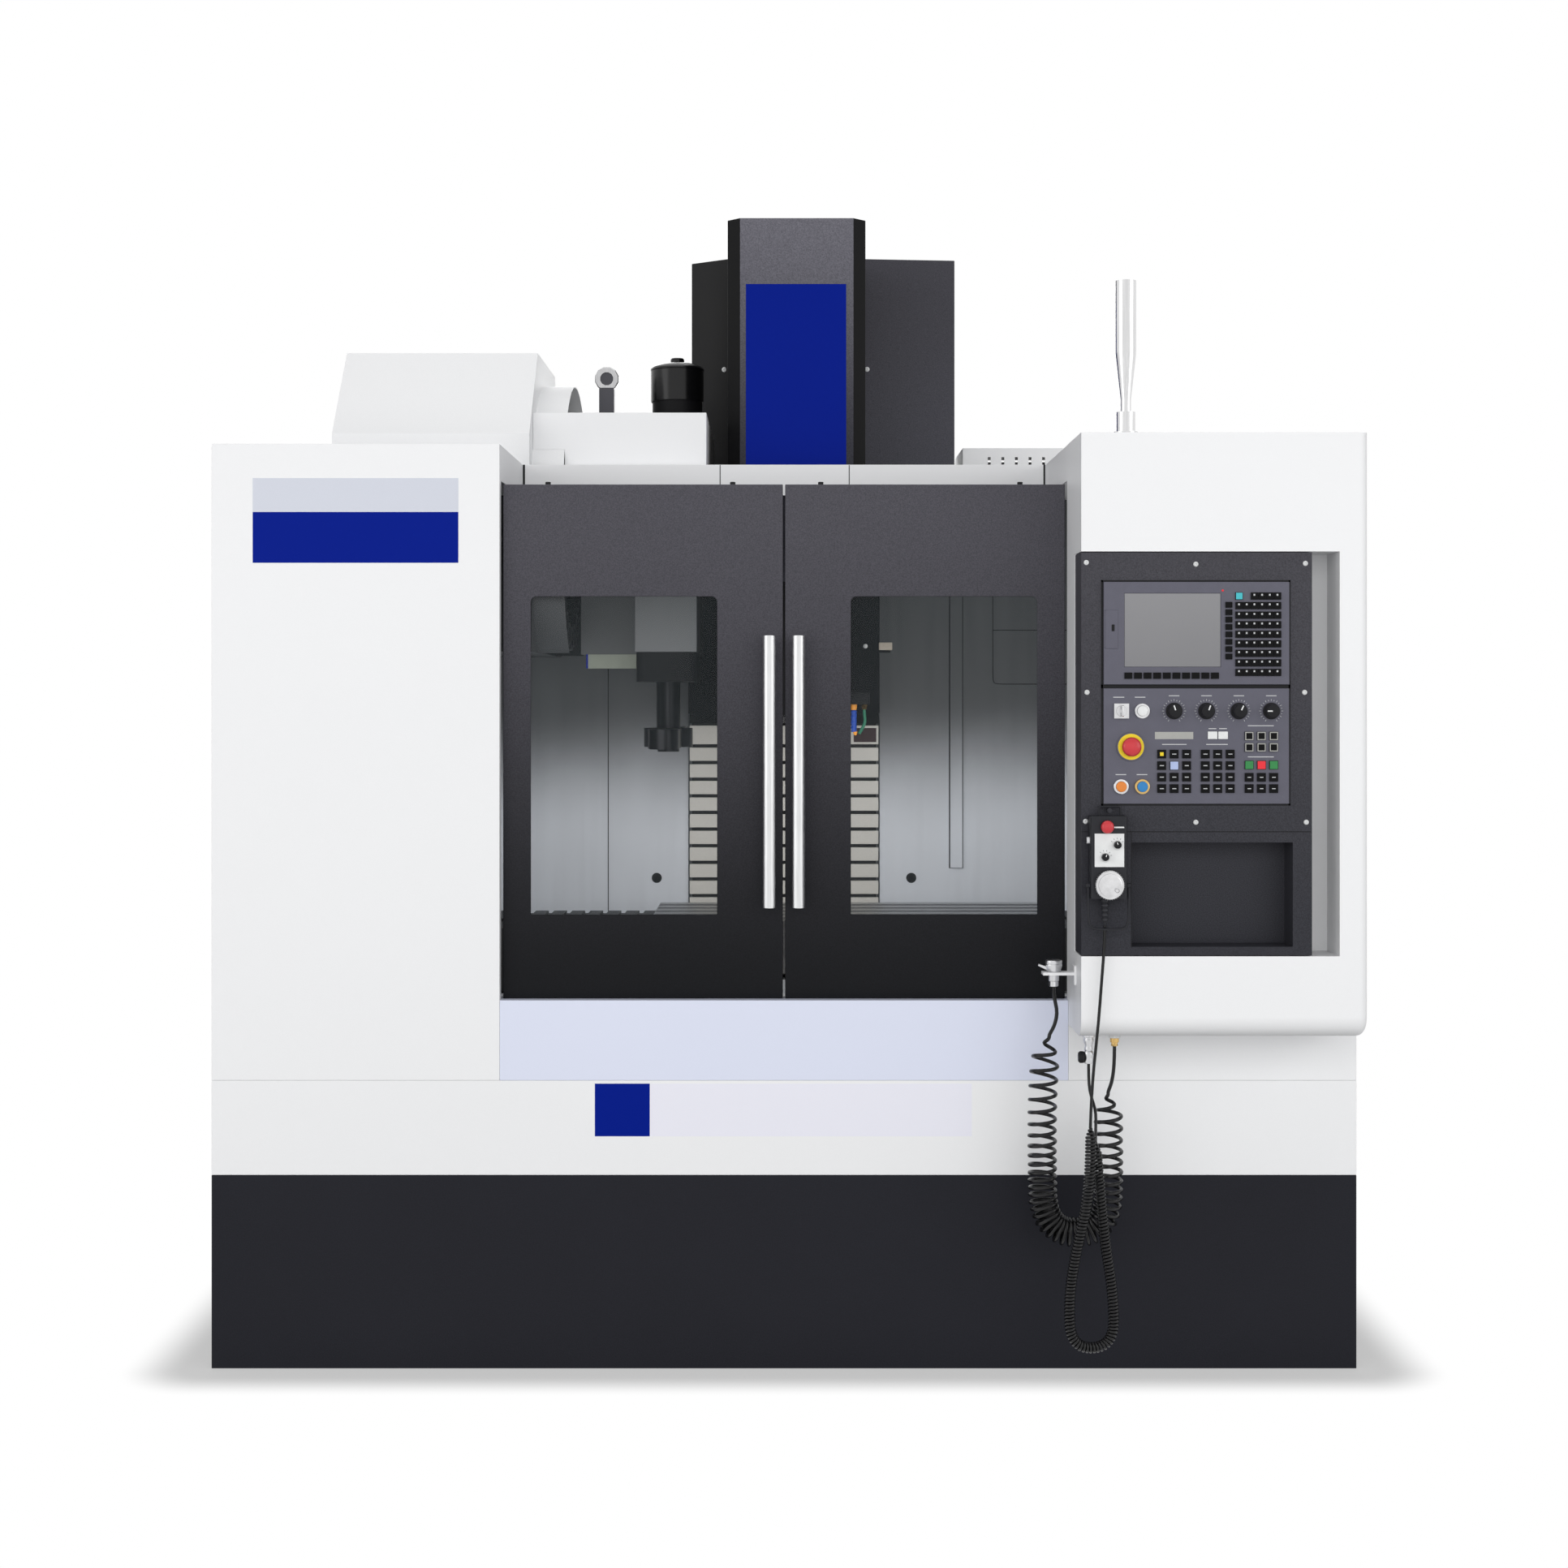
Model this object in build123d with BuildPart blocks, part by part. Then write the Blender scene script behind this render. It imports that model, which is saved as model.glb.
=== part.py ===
from build123d import *
import os
from math import pi, radians, sqrt, tan

# A vertical cnc machining centre: a cast bed and column, a cross table, a head that slides on
# the column, an arm tool changer, a sheet metal enclosure with two sliding doors and a console
# that swings out of its box. Millimetres. +X right, +Y back, +Z up. The origin is on the floor
# under the spindle axis.

os.makedirs("parts", exist_ok=True)

# Clearances
sheet = 3.0
seam = 0.3
slide_gap = 0.3
shaft_gap = 0.05

# Cabinet
cabinet_width = 2500.0
cabinet_front = -845.0
cabinet_back = 530.0
cabinet_top = 2019.0
base_back = 1136.0
base_top = 422.0
skirt_sheet = 6.0
band_top = 629.0
opening_half = 621.0
lintel_front = -398.0
lintel_bottom = 1946.0
liner_half = 1090.0
liner_front = -770.0
half = cabinet_width / 2

# Bed
bed_width = 900.0
bed_front = -700.0
bed_back = 1110.0
bed_top = 560.0
foot_height = 50.0
foot_radius = 45.0
pit_gap = 5.0
trough_half = 80.0
trough_depth = 40.0
y_bearing_front = -600.0
y_bearing_back = 488.0

# Guide rails, blocks and ball screws
rail_width = 45.0
rail_height = 30.0
block_width = 86.0
block_height = 36.0
block_length = 80.0
screw_radius = 20.0
bearing_half = 60.0
nut_half = 55.0
y_rail_x = 300.0
y_rail_half = 490.0
x_rail_y = 180.0
z_rail_x = 200.0
z_rail_bottom = 1035.0
z_rail_top = 1800.0
motor_half = 55.0

# Saddle and table
saddle_half = 780.0
saddle_depth = 460.0
saddle_thickness = 132.0
table_center = 172.0
table_length = 1000.0
table_depth = 500.0
table_top = 920.0
table_thickness = 80.0
slot_pitch = 90.0
slot_width = 18.0
slot_depth = 34.0
slot_foot_width = 32.0
slot_foot_height = 15.0
block_spread = 330.0
cover_reach = 1050.0

# Column
column_front = 590.0
column_back = 1110.0
column_back_top = 885.0
column_foot_half = 360.0
column_top_half = 240.0
column_top = 2330.0
column_waist = 1700.0
screw_y = 590.0

# Head and spindle
head_bottom = 1422.0
head_top = 1750.0
head_nose_half = 150.0
head_nose_front = -225.0
head_body_half = 250.0
head_body_front = 150.0
head_body_back = 530.0
spindle_face = 1400.0
spindle_radius = 50.0
spindle_nose_radius = 64.0
spindle_nose_height = 18.0
taper_radius = 22.225
taper_depth = 65.0
taper_rate = 7 / 48
head_cover_left = -139.0
head_cover_right = 201.0
head_cover_back = 430.0
head_cover_top = 2642.0
head_cover_chamfer = 30.0
spindle_motor_half = 105.0
spindle_motor_top = 2200.0

# Tool changer
arm_x = -295.0
arm_bottom = 1340.0
arm_thickness = 48.0
arm_width = 72.0
grip_radius = 31.5
grip_rim = 8.5
changer_shaft_radius = 30.0
gearbox_bottom = 1505.0
gearbox_top = 2140.0
gearbox_half_width = 75.0
gearbox_half_depth = 130.0
magazine_z = 1885.0
pot_circle_radius = 270.0
pot_radius = 30.0
pot_bore_radius = 22.0
pot_length = 100.0
pot_count = 24
pot_sides = 16
magazine_disc_x = -700.0
magazine_disc_thickness = 60.0
magazine_disc_radius = 252.0
magazine_cover_left = -1076.0
magazine_cover_right = -606.0
magazine_cover_half = 395.0
magazine_cover_bottom = 1575.0
magazine_cover_lip = 2094.0
magazine_cover_ridge = 207.0
magazine_cover_top = 2313.0
hood_right = -529.0
hood_radius = 370.0
changer_cover_right = -187.0
changer_cover_half = 325.0
changer_cover_top = 2152.0
changer_motor_x = -272.0
changer_motor_radius = 66.5
changer_flange_top = gearbox_top + 78.0
changer_motor_top = changer_flange_top + 110.0
eye_x = -452.0

# Column shroud
shroud_top = 2670.0
shroud_outline = [(-256, 900), (-256, 515), (-155, 445), (224, 445), (470, 468), (470, 900)]

# Doors
door_inner_x = 2.5
door_outer_x = 617.0
door_bottom = 804.0
door_top = 1933.0
door_front = -815.0
door_thickness = 40.0
door_leaf_thickness = 8.0
door_leaf_back = -405.0
window_inner_x = 147.0
window_outer_x = 556.0
window_bottom = 988.0
window_top = 1687.0
window_corner = 12.0
pane_lap = 15.0
pane_thickness = 8.0
handle_x = 32.0
handle_radius = 14.0
handle_reach = 45.0
handle_bottom = 1007.0
handle_top = 1600.0
handle_inset = 45.0
handle_post_radius = 10.0
door_travel = 560.0

# Control box
box_left = 621.0
box_right = 1222.0
box_bottom = 752.0
box_front = -1061.0
box_edge_radius = 45.0
box_corner_radius = 20.0
pocket_right = 1161.0
pocket_bottom = 924.0
pocket_top = 1770.0
pocket_back = -949.0

# Console
console_right = 1103.0
console_gap = 2.0
hinge_inset = 15.0
pin_radius = 6.0
pin_length = 22.0
hinge_post = 655.0
tray_left = 725.0
tray_right = 1063.0
tray_bottom = 944.0
tray_top = 1162.0
tray_depth = 80.0
unit_left = 667.0
unit_right = 1054.0
unit_bottom = 1492.0
unit_top = 1706.0
unit_thickness = 8.0
screen_left = 710.0
screen_right = 911.0
screen_bottom = 1528.5
screen_top = 1682.4
screen_recess = 3.0
panel_bottom = 1243.0
panel_top = 1484.0
panel_thickness = 5.0
key_height = 4.0

# Controls on the operator panel
knob_first_x = 813.9
knob_pitch = 67.6
knob_count = 4
dial_z = 1436.7
knob_base_radius = 17.4
knob_radius = 15.0
knob_length = 20.0
button_ring_radius = 15.0
button_radius = 11.0
button_travel = 4.0
stop_x = 723.6
stop_z = 1362.0
stop_ring_radius = 30.0
stop_radius = 20.0
stem_radius = 8.0
stop_travel = 6.0
left_button_x = 702.7
right_button_x = 746.8
button_z = 1278.9
lock_x = 703.4

# Hand pendant
pendant_x = 673.0
pendant_width = 76.0
pendant_bottom = 1048.0
pendant_height = 171.0
pendant_depth = 44.0
wheel_z = 1077.0
wheel_radius = 30.5
wheel_length = 29.7
pendant_stop_x = 668.6
pendant_stop_z = 1197.0
pendant_stop_radius = 13.5
selector_places = {"axis_selector": (689.7, 1160.0), "step_selector": (664.4, 1134.6)}
selector_radius = 10.0
selector_length = 14.0
wire_radius = 2.0
wire_sides = 8

# Air gun, hook and fittings under the control box
gun_x = 575.0
gun_y = -960.0
gun_bottom = 849.0
gun_top = 905.0
hook_z = 874.0
hook_thickness = 6.0
fitting_y = -980.0
plug_x = 647.0
plug_bottom = 688.0
brass_x = 702.0
brass_bottom = 725.0

# Signal lamp
lamp_x = 729.0
lamp_y = -961.0
lamp_base_radius = 25.5
lamp_neck_radius = 11.0
lamp_radius = 22.0
lamp_height = 334.0

# Electrical cabinet
closet_right = half - 70.0
closet_width = 680.0
closet_left = closet_right - closet_width
closet_front = 560.0
closet_back = 860.0
closet_top = 2163.0
closet_door_thickness = 18.0
louvre_pitch = 38.0
louvre_width = 8.0
louvre_top = 2138.0
louvre_height = 120.0
barrel_radius = 8.0
barrel_pin_radius = 5.0

# Cords
hose_radius = 4.0
hose_coil_radius = 32.5
cable_radius = 3.25
cable_coil_radius = 12.0
cord_sides = 12


def span_box(x_span, y_span, z_span, mode=Mode.ADD):
    """A box between pairs of limits, in the part that is being built."""
    low = [min(span) for span in (x_span, y_span, z_span)]
    high = [max(span) for span in (x_span, y_span, z_span)]
    with Locations(tuple((a + b) / 2 for a, b in zip(low, high))):
        Box(*[b - a for a, b in zip(low, high)], mode=mode)


def rod(center, radius, length, axis="z", mode=Mode.ADD):
    """A cylinder along one axis, centred on a point, in the part that is being built."""
    turn = {"x": (0, 90, 0), "y": (90, 0, 0), "z": (0, 0, 0)}[axis]
    with Locations(center):
        Cylinder(radius, length, rotation=turn, mode=mode)


def finish(part, name):
    """Labels a piece and writes it."""
    part.label = name
    export_step(part, f"parts/{name}.step")


def cord_line(name, points):
    """A cord's path: straight runs joined by arcs that are as large as the runs allow."""
    corners = [Vector(*p) for p in points]
    radii = []
    for before, here, after in zip(corners, corners[1:], corners[2:]):
        turn = radians((here - before).get_angle(after - here))
        shorter = min((here - before).length, (after - here).length)
        radii.append(0.45 * shorter / tan(turn / 2))
    print(name, "radii", [round(r) for r in radii])
    with BuildLine() as path:
        FilletPolyline(*points, radius=radii)
    route = path.wires()[0]
    print(name, "length", round(route.length))
    return route


# Base and coolant tank: a folded channel, open below, round a pit for the bed
with BuildPart() as base_skirt:
    skirt_size = (cabinet_width, base_back - cabinet_front)
    pit_size = (bed_width + 2 * pit_gap, bed_back - bed_front + 2 * pit_gap)
    skirt_center = (0, (cabinet_front + base_back) / 2)
    pit_center = (0, (bed_front + bed_back) / 2)
    for wall, mode in ((0, Mode.ADD), (skirt_sheet, Mode.SUBTRACT)):
        with BuildSketch():
            with Locations(skirt_center):
                Rectangle(skirt_size[0] - 2 * wall, skirt_size[1] - 2 * wall)
            with Locations(pit_center):
                Rectangle(pit_size[0] + 2 * wall, pit_size[1] + 2 * wall, mode=Mode.SUBTRACT)
        extrude(amount=base_top - wall, mode=mode)
finish(base_skirt.part, "base_skirt")

# Bed: a casting with a screw trough between two rails, on six feet
y_rail_top = bed_top + rail_height
y_screw_z = bed_top + 25
with BuildPart() as bed:
    with BuildSketch(Plane.XZ.offset(-bed_back)):
        with Locations((0, foot_height)):
            Rectangle(bed_width, bed_top - foot_height, align=(Align.CENTER, Align.MIN))
        with Locations((0, bed_top)):
            Rectangle(2 * trough_half, 2 * trough_depth, mode=Mode.SUBTRACT)
    extrude(amount=bed_back - bed_front)
    top_edges = bed.edges().filter_by(Axis.Y).group_by(Axis.Z)[-1].sort_by(Axis.X)
    chamfer([top_edges[0], top_edges[-1]], length=40)
    with Locations((0, (bed_front + bed_back) / 2, foot_height / 2)):
        with GridLocations(bed_width - 2 * foot_radius - 10, (bed_back - bed_front - 200) / 2, 2, 3):
            Cylinder(foot_radius, foot_height)
    with BuildSketch(Plane.XY.offset(foot_height)):
        with Locations((0, (bed_front + bed_back) / 2)):
            with GridLocations(240, 345, 3, 5):
                Rectangle(210, 315)
    extrude(amount=bed_top - trough_depth - foot_height - 50, mode=Mode.SUBTRACT)
    for side in (-1, 1):
        rail_x = side * y_rail_x
        span_box(
            (rail_x - rail_width / 2, rail_x + rail_width / 2),
            (-y_rail_half, y_rail_half),
            (bed_top, y_rail_top),
        )
    for start, end in ((y_bearing_front, y_bearing_front + 50), (y_bearing_back, y_bearing_back + 36)):
        span_box((-bearing_half, bearing_half), (start, end), (bed_top - trough_depth, y_screw_z + 55))
    rod(
        (0, 0, y_screw_z),
        screw_radius + shaft_gap,
        2 * abs(y_bearing_front) + 10,
        "y",
        Mode.SUBTRACT,
    )
finish(bed.part, "bed")

# Column: a tapered casting with a ribbed back, a screw trough and two rails
column_depth = column_back - column_front
z_bearing_low = 900.0
z_bearing_high = 2050.0
z_bearing_front = screw_y - 38
trough_back = column_front + 60
with BuildPart() as column:
    with BuildSketch(Plane.XZ.offset(-column_front)):
        with BuildLine():
            Polyline(
                (-column_foot_half, bed_top),
                (column_foot_half, bed_top),
                (column_foot_half, bed_top + 300),
                (column_top_half, column_waist),
                (column_top_half, column_top),
                (-column_top_half, column_top),
                (-column_top_half, column_waist),
                (-column_foot_half, bed_top + 300),
                close=True,
            )
        make_face()
    extrude(amount=-column_depth)
    with BuildSketch(Plane.YZ):
        with BuildLine():
            Polyline(
                (column_back, bed_top + 340),
                (column_back + 1, column_top + 1),
                (column_back_top, column_top + 1),
                (column_back_top, column_waist + 200),
                close=True,
            )
        make_face()
    extrude(amount=column_foot_half + 1, both=True, mode=Mode.SUBTRACT)
    with BuildSketch(Plane.XZ.offset(-column_back)):
        with Locations((0, bed_top + 170)):
            with GridLocations(220, 0, 3, 1):
                Rectangle(180, 240)
    extrude(amount=40, mode=Mode.SUBTRACT)
    with BuildSketch(Plane.YZ.offset(-column_foot_half)):
        with Locations(((column_front + column_back) / 2, bed_top + 150)):
            with GridLocations(230, 0, 2, 1):
                Rectangle(180, 220)
    extrude(amount=30, mode=Mode.SUBTRACT)
    mirrored_plane = Plane.YZ.offset(column_foot_half)
    with BuildSketch(mirrored_plane):
        with Locations(((column_front + column_back) / 2, bed_top + 150)):
            with GridLocations(230, 0, 2, 1):
                Rectangle(180, 220)
    extrude(amount=-30, mode=Mode.SUBTRACT)
    for core_half, core_back, core_span in (
        (260, column_back - 80, (bed_top, 1100)),
        (180, 840, (1100, 2200)),
    ):
        span_box((-core_half, core_half), (trough_back + 40, core_back), core_span, Mode.SUBTRACT)
    for window_z in (1250, 1550):
        span_box((-110, 110), (800, column_back), (window_z - 90, window_z + 90), Mode.SUBTRACT)
    span_box(
        (-trough_half, trough_half),
        (column_front, trough_back),
        (z_bearing_low - 40, column_top),
        Mode.SUBTRACT,
    )
    for side in (-1, 1):
        rail_x = side * z_rail_x
        span_box(
            (rail_x - rail_width / 2, rail_x + rail_width / 2),
            (column_front - rail_height, column_front),
            (z_rail_bottom, z_rail_top),
        )
    for low, high in ((z_bearing_low, z_bearing_low + 50), (z_bearing_high, z_bearing_high + 60)):
        span_box((-bearing_half, bearing_half), (z_bearing_front, trough_back), (low, high))
    rod(
        (0, screw_y, (z_bearing_low + z_bearing_high) / 2),
        screw_radius + shaft_gap,
        z_bearing_high - z_bearing_low + 130,
        "z",
        Mode.SUBTRACT,
    )
finish(column.part, "column")

# Saddle: it rides the bed's rails, carries the table's rails, its motor and the cover brackets
saddle_bottom = bed_top + block_height + 12
saddle_top = saddle_bottom + saddle_thickness
x_rail_top = saddle_top + rail_height
x_screw_z = saddle_top + 20
table_bottom = table_top - table_thickness
with BuildPart() as saddle:
    span_box(
        (-saddle_half, saddle_half),
        (-saddle_depth / 2, saddle_depth / 2),
        (saddle_bottom, saddle_top),
    )
    span_box(
        (-saddle_half, saddle_half), (-70, 70), (saddle_top - 25, saddle_top), Mode.SUBTRACT
    )
    with BuildSketch(Plane.XY.offset(saddle_bottom)):
        for side in (-1, 1):
            with Locations((side * (y_rail_x + saddle_half) / 2, 0)):
                with GridLocations(190, 200, 2, 2):
                    RectangleRounded(160, 170, 15)
    extrude(amount=60, mode=Mode.SUBTRACT)
    block_base = saddle_bottom - block_height
    for side in (-1, 1):
        for end in (-1, 1):
            block_y = end * (saddle_depth / 2 - 60)
            block_x = side * y_rail_x
            span_box(
                (block_x - block_width / 2, block_x + block_width / 2),
                (block_y - 50, block_y + 50),
                (block_base, saddle_bottom),
            )
        groove_half = rail_width / 2 + slide_gap
        span_box(
            (side * y_rail_x - groove_half, side * y_rail_x + groove_half),
            (-saddle_depth / 2, saddle_depth / 2),
            (block_base, y_rail_top + slide_gap),
            Mode.SUBTRACT,
        )
        rail_y = side * x_rail_y
        span_box(
            (-saddle_half + 5, saddle_half - 5),
            (rail_y - rail_width / 2, rail_y + rail_width / 2),
            (saddle_top, x_rail_top),
        )
        span_box(
            (side * (saddle_half - 60), side * saddle_half),
            (-bearing_half, bearing_half),
            (saddle_top - 25, x_screw_z + 38),
        )
        for edge in (-1, 1):
            span_box(
                (side * saddle_half, side * cover_reach),
                (edge * 205, edge * 215),
                (saddle_top - 50, saddle_top - 10),
            )
        span_box(
            (side * cover_reach, side * (cover_reach + 5)),
            (-saddle_depth / 2, saddle_depth / 2),
            (saddle_top - 50, table_top - 20),
        )
    span_box((-nut_half, nut_half), (-60, 60), (y_screw_z - 33, saddle_bottom))
    rod((0, 0, y_screw_z), screw_radius + shaft_gap, 200, "y", Mode.SUBTRACT)
    rod((0, 0, x_screw_z), screw_radius + shaft_gap, 2 * saddle_half, "x", Mode.SUBTRACT)
    span_box(
        (saddle_half, saddle_half + 160),
        (-motor_half, motor_half),
        (x_screw_z - motor_half, x_screw_z + motor_half),
    )
    span_box(
        (saddle_half + 160, saddle_half + 200),
        (-motor_half + 8, motor_half - 8),
        (x_screw_z - motor_half + 8, x_screw_z + motor_half - 8),
    )
finish(saddle.part, "saddle")

# Table: five T-slots, two ribs with guide blocks, and the screw's nut
with BuildPart() as worktable:
    table_left = table_center - table_length / 2
    table_right = table_center + table_length / 2
    span_box((table_left, table_right), (-table_depth / 2, table_depth / 2), (table_bottom, table_top))
    block_top = saddle_top + block_height + 12
    for side in (-1, 1):
        rib_y = side * x_rail_y
        rib = (rib_y - rail_width, rib_y + rail_width)
        span_box((table_left, table_right), rib, (block_top, table_bottom))
        for end in (-1, 1):
            block_x = table_center + end * block_spread
            span_box(
                (block_x - block_length / 2, block_x + block_length / 2),
                (rib_y - block_width / 2, rib_y + block_width / 2),
                (saddle_top + 12, block_top),
            )
            span_box(
                (block_x - block_length / 2, block_x + block_length / 2),
                (rib_y - rail_width / 2 - slide_gap, rib_y + rail_width / 2 + slide_gap),
                (saddle_top + 12, x_rail_top + slide_gap),
                Mode.SUBTRACT,
            )
    span_box(
        (table_center - nut_half, table_center + nut_half),
        (-nut_half, nut_half),
        (x_screw_z - 32, table_bottom),
    )
    rod((table_center, 0, x_screw_z), screw_radius + shaft_gap, 3 * nut_half, "x", Mode.SUBTRACT)
    with BuildSketch(Plane.YZ.offset(table_left)):
        with Locations((0, table_top)):
            with GridLocations(slot_pitch, 0, 5, 1):
                Rectangle(slot_width, 2 * slot_depth)
        with Locations((0, table_top - slot_depth + slot_foot_height / 2)):
            with GridLocations(slot_pitch, 0, 5, 1):
                Rectangle(slot_foot_width, slot_foot_height)
    extrude(amount=table_length, mode=Mode.SUBTRACT)
finish(worktable.part, "worktable")

# Ball screws
with BuildPart() as x_ballscrew:
    rod((0, 0, x_screw_z), screw_radius, 2 * saddle_half - 10, "x")
finish(x_ballscrew.part, "x_ballscrew")

with BuildPart() as y_ballscrew:
    y_screw_back = y_bearing_back + 30
    y_screw_length = y_screw_back - y_bearing_front - 5
    rod((0, y_screw_back - y_screw_length / 2, y_screw_z), screw_radius, y_screw_length, "y")
finish(y_ballscrew.part, "y_ballscrew")

with BuildPart() as z_ballscrew:
    z_screw_length = z_bearing_high + 50 - z_bearing_low - 5
    rod((0, screw_y, z_bearing_low + 5 + z_screw_length / 2), screw_radius, z_screw_length, "z")
finish(z_ballscrew.part, "z_ballscrew")

# The motors of the y and z screws, each with a narrower encoder cap
z_motor_bottom = z_bearing_high + 60
with BuildPart() as servo_motors:
    span_box(
        (-motor_half, motor_half),
        (y_bearing_front - 120, y_bearing_front),
        (y_screw_z - motor_half, y_screw_z + motor_half),
    )
    span_box(
        (-motor_half + 8, motor_half - 8),
        (y_bearing_front - 150, y_bearing_front - 120),
        (y_screw_z - motor_half + 8, y_screw_z + motor_half - 8),
    )
    span_box(
        (-motor_half, motor_half),
        (z_bearing_front, z_bearing_front + 2 * motor_half - 20),
        (z_motor_bottom, z_motor_bottom + 170),
    )
    rod((0, z_bearing_front + motor_half - 10, z_motor_bottom + 185), 38, 30)
finish(servo_motors.part, "servo_motors")

# Bellows over the table's rails, an upturned U at each end of the table
fold_pitch = 46.0
fold_depth = 6.0
x_cover_half = saddle_depth / 2 + 5
x_cover_top = table_top - 20
x_cover_bottom = saddle_top + 5
with BuildPart() as x_way_covers:
    for near, far in ((table_right, cover_reach), (table_left, -cover_reach)):
        way = 1 if far > near else -1
        start = near + way * seam
        end = far - way * seam
        folds = int(abs(end - start) // fold_pitch)
        for layer, inset in ((0, fold_depth), (1, 0)):
            wide = x_cover_half - inset
            top = x_cover_top - inset
            spans = [(start, end)]
            if layer:
                step = (end - start) / folds
                spans = [(start + step * (n + 0.15), start + step * (n + 0.85)) for n in range(folds)]
            for x_span in spans:
                span_box(x_span, (-wide, wide), (x_cover_bottom, top))
        span_box(
            (start, end),
            (-x_cover_half + 2 * fold_depth, x_cover_half - 2 * fold_depth),
            (x_cover_bottom, x_cover_top - 2 * fold_depth),
            Mode.SUBTRACT,
        )
finish(x_way_covers.part, "x_way_covers")

# Stepped covers before and behind the saddle, over the bed's rails
y_cover_half = 400.0
y_cover_top = saddle_top - 12
y_cover_step = 4.0
liner_back = cabinet_back - sheet
with BuildPart() as y_way_cover:
    saddle_face = saddle_depth / 2 + seam
    for near, far, steps in (
        (-saddle_face, liner_front + sheet + seam, 6),
        (saddle_face, liner_back - seam, 4),
    ):
        length = (far - near) / steps
        for step in range(steps):
            drop = step * y_cover_step
            span_box(
                (-y_cover_half + drop, y_cover_half - drop),
                (near + step * length, near + (step + 1) * length),
                (bed_top + 40, y_cover_top - drop),
            )
        hollow = y_cover_step * (steps - 1) + sheet
        span_box(
            (-y_cover_half + hollow, y_cover_half - hollow),
            (near, far),
            (bed_top + 40, y_cover_top - hollow),
            Mode.SUBTRACT,
        )
finish(y_way_cover.part, "y_way_cover")

# Slatted bellows on the column below the head
z_cover_half = 262.0
z_cover_bottom = 860.0
z_bracket_height = 28.0
z_cover_front = 512.0
z_cover_back = 550.0
slat_height = 35.0
slat_thickness = 10.0
z_cover_top = head_bottom - z_bracket_height - seam
with BuildPart() as z_way_cover:
    span_box(
        (-z_cover_half + 6, z_cover_half - 6),
        (z_cover_front + slat_thickness, z_cover_back),
        (z_cover_bottom, z_cover_top),
    )
    slat_count = int((z_cover_top - z_cover_bottom) // fold_pitch)
    slat_pitch = (z_cover_top - z_cover_bottom) / slat_count
    for slat in range(slat_count):
        slat_bottom = z_cover_bottom + slat * slat_pitch + (slat_pitch - slat_height) / 2
        span_box(
            (-z_cover_half, z_cover_half),
            (z_cover_front, z_cover_front + slat_thickness),
            (slat_bottom, slat_bottom + slat_height),
        )
finish(z_way_cover.part, "z_way_cover")

# Head casting, with its guide blocks, screw nut, spindle bore and the bellows bracket
with BuildPart() as headstock:
    with BuildSketch(Plane.XY.offset(head_bottom)):
        with Locations((0, (head_body_front + head_body_back) / 2)):
            Rectangle(2 * head_body_half, head_body_back - head_body_front)
        with Locations((0, (head_nose_front + head_body_front) / 2)):
            Rectangle(2 * head_nose_half, head_body_front - head_nose_front)
    extrude(amount=head_top - head_bottom)
    front_edges = headstock.edges().filter_by(Axis.Z).group_by(Axis.Y)[0]
    fillet(front_edges, radius=60)
    body_edges = headstock.edges().filter_by(Axis.Z).filter_by_position(
        Axis.Y, head_body_front - 1, head_body_front + 1
    )
    chamfer([body_edges.sort_by(Axis.X)[0], body_edges.sort_by(Axis.X)[-1]], length=60)
    span_box(
        (-z_cover_half, z_cover_half),
        (z_cover_front, z_cover_back),
        (head_bottom - z_bracket_height, head_bottom + 4),
    )
    for side in (-1, 1):
        rail_x = side * z_rail_x
        for block_low in (head_bottom + 20, head_top - 110):
            span_box(
                (rail_x - block_width / 2, rail_x + block_width / 2),
                (head_body_back, column_front - 12),
                (block_low, block_low + 90),
            )
        span_box(
            (rail_x - rail_width / 2 - slide_gap, rail_x + rail_width / 2 + slide_gap),
            (column_front - rail_height - slide_gap, column_front),
            (head_bottom, head_top),
            Mode.SUBTRACT,
        )
    span_box((-nut_half, nut_half), (head_body_back, screw_y + 36), (head_bottom + 80, head_bottom + 180))
    rod((0, screw_y, head_bottom + 130), screw_radius + shaft_gap, 120, "z", Mode.SUBTRACT)
    span_box((head_body_half, head_body_half + 33), (250, 280), (1585, 1611))
    rod(
        (0, 0, head_bottom + 160),
        spindle_radius + shaft_gap,
        322,
        "z",
        Mode.SUBTRACT,
    )
finish(headstock.part, "headstock")

# Spindle: a turned body with a 7:24 taper and two drive keys
spindle_top = head_bottom + 318
taper_end_radius = taper_radius - taper_depth * taper_rate
with BuildPart() as spindle:
    with BuildSketch(Plane.XZ):
        with BuildLine():
            Polyline(
                (taper_radius, spindle_face),
                (spindle_nose_radius, spindle_face),
                (spindle_nose_radius, spindle_face + spindle_nose_height),
                (spindle_radius, spindle_face + spindle_nose_height),
                (spindle_radius, spindle_top),
                (0, spindle_top),
                (0, spindle_face + taper_depth + 60),
                (taper_end_radius, spindle_face + taper_depth + 60),
                (taper_end_radius, spindle_face + taper_depth),
                close=True,
            )
        make_face()
    revolve(axis=Axis.Z)
    with Locations((0, 0, spindle_face - 4)):
        with PolarLocations((taper_radius + spindle_nose_radius) / 2, 2):
            Box(22, 16, 8)
finish(spindle.part, "spindle")

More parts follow.
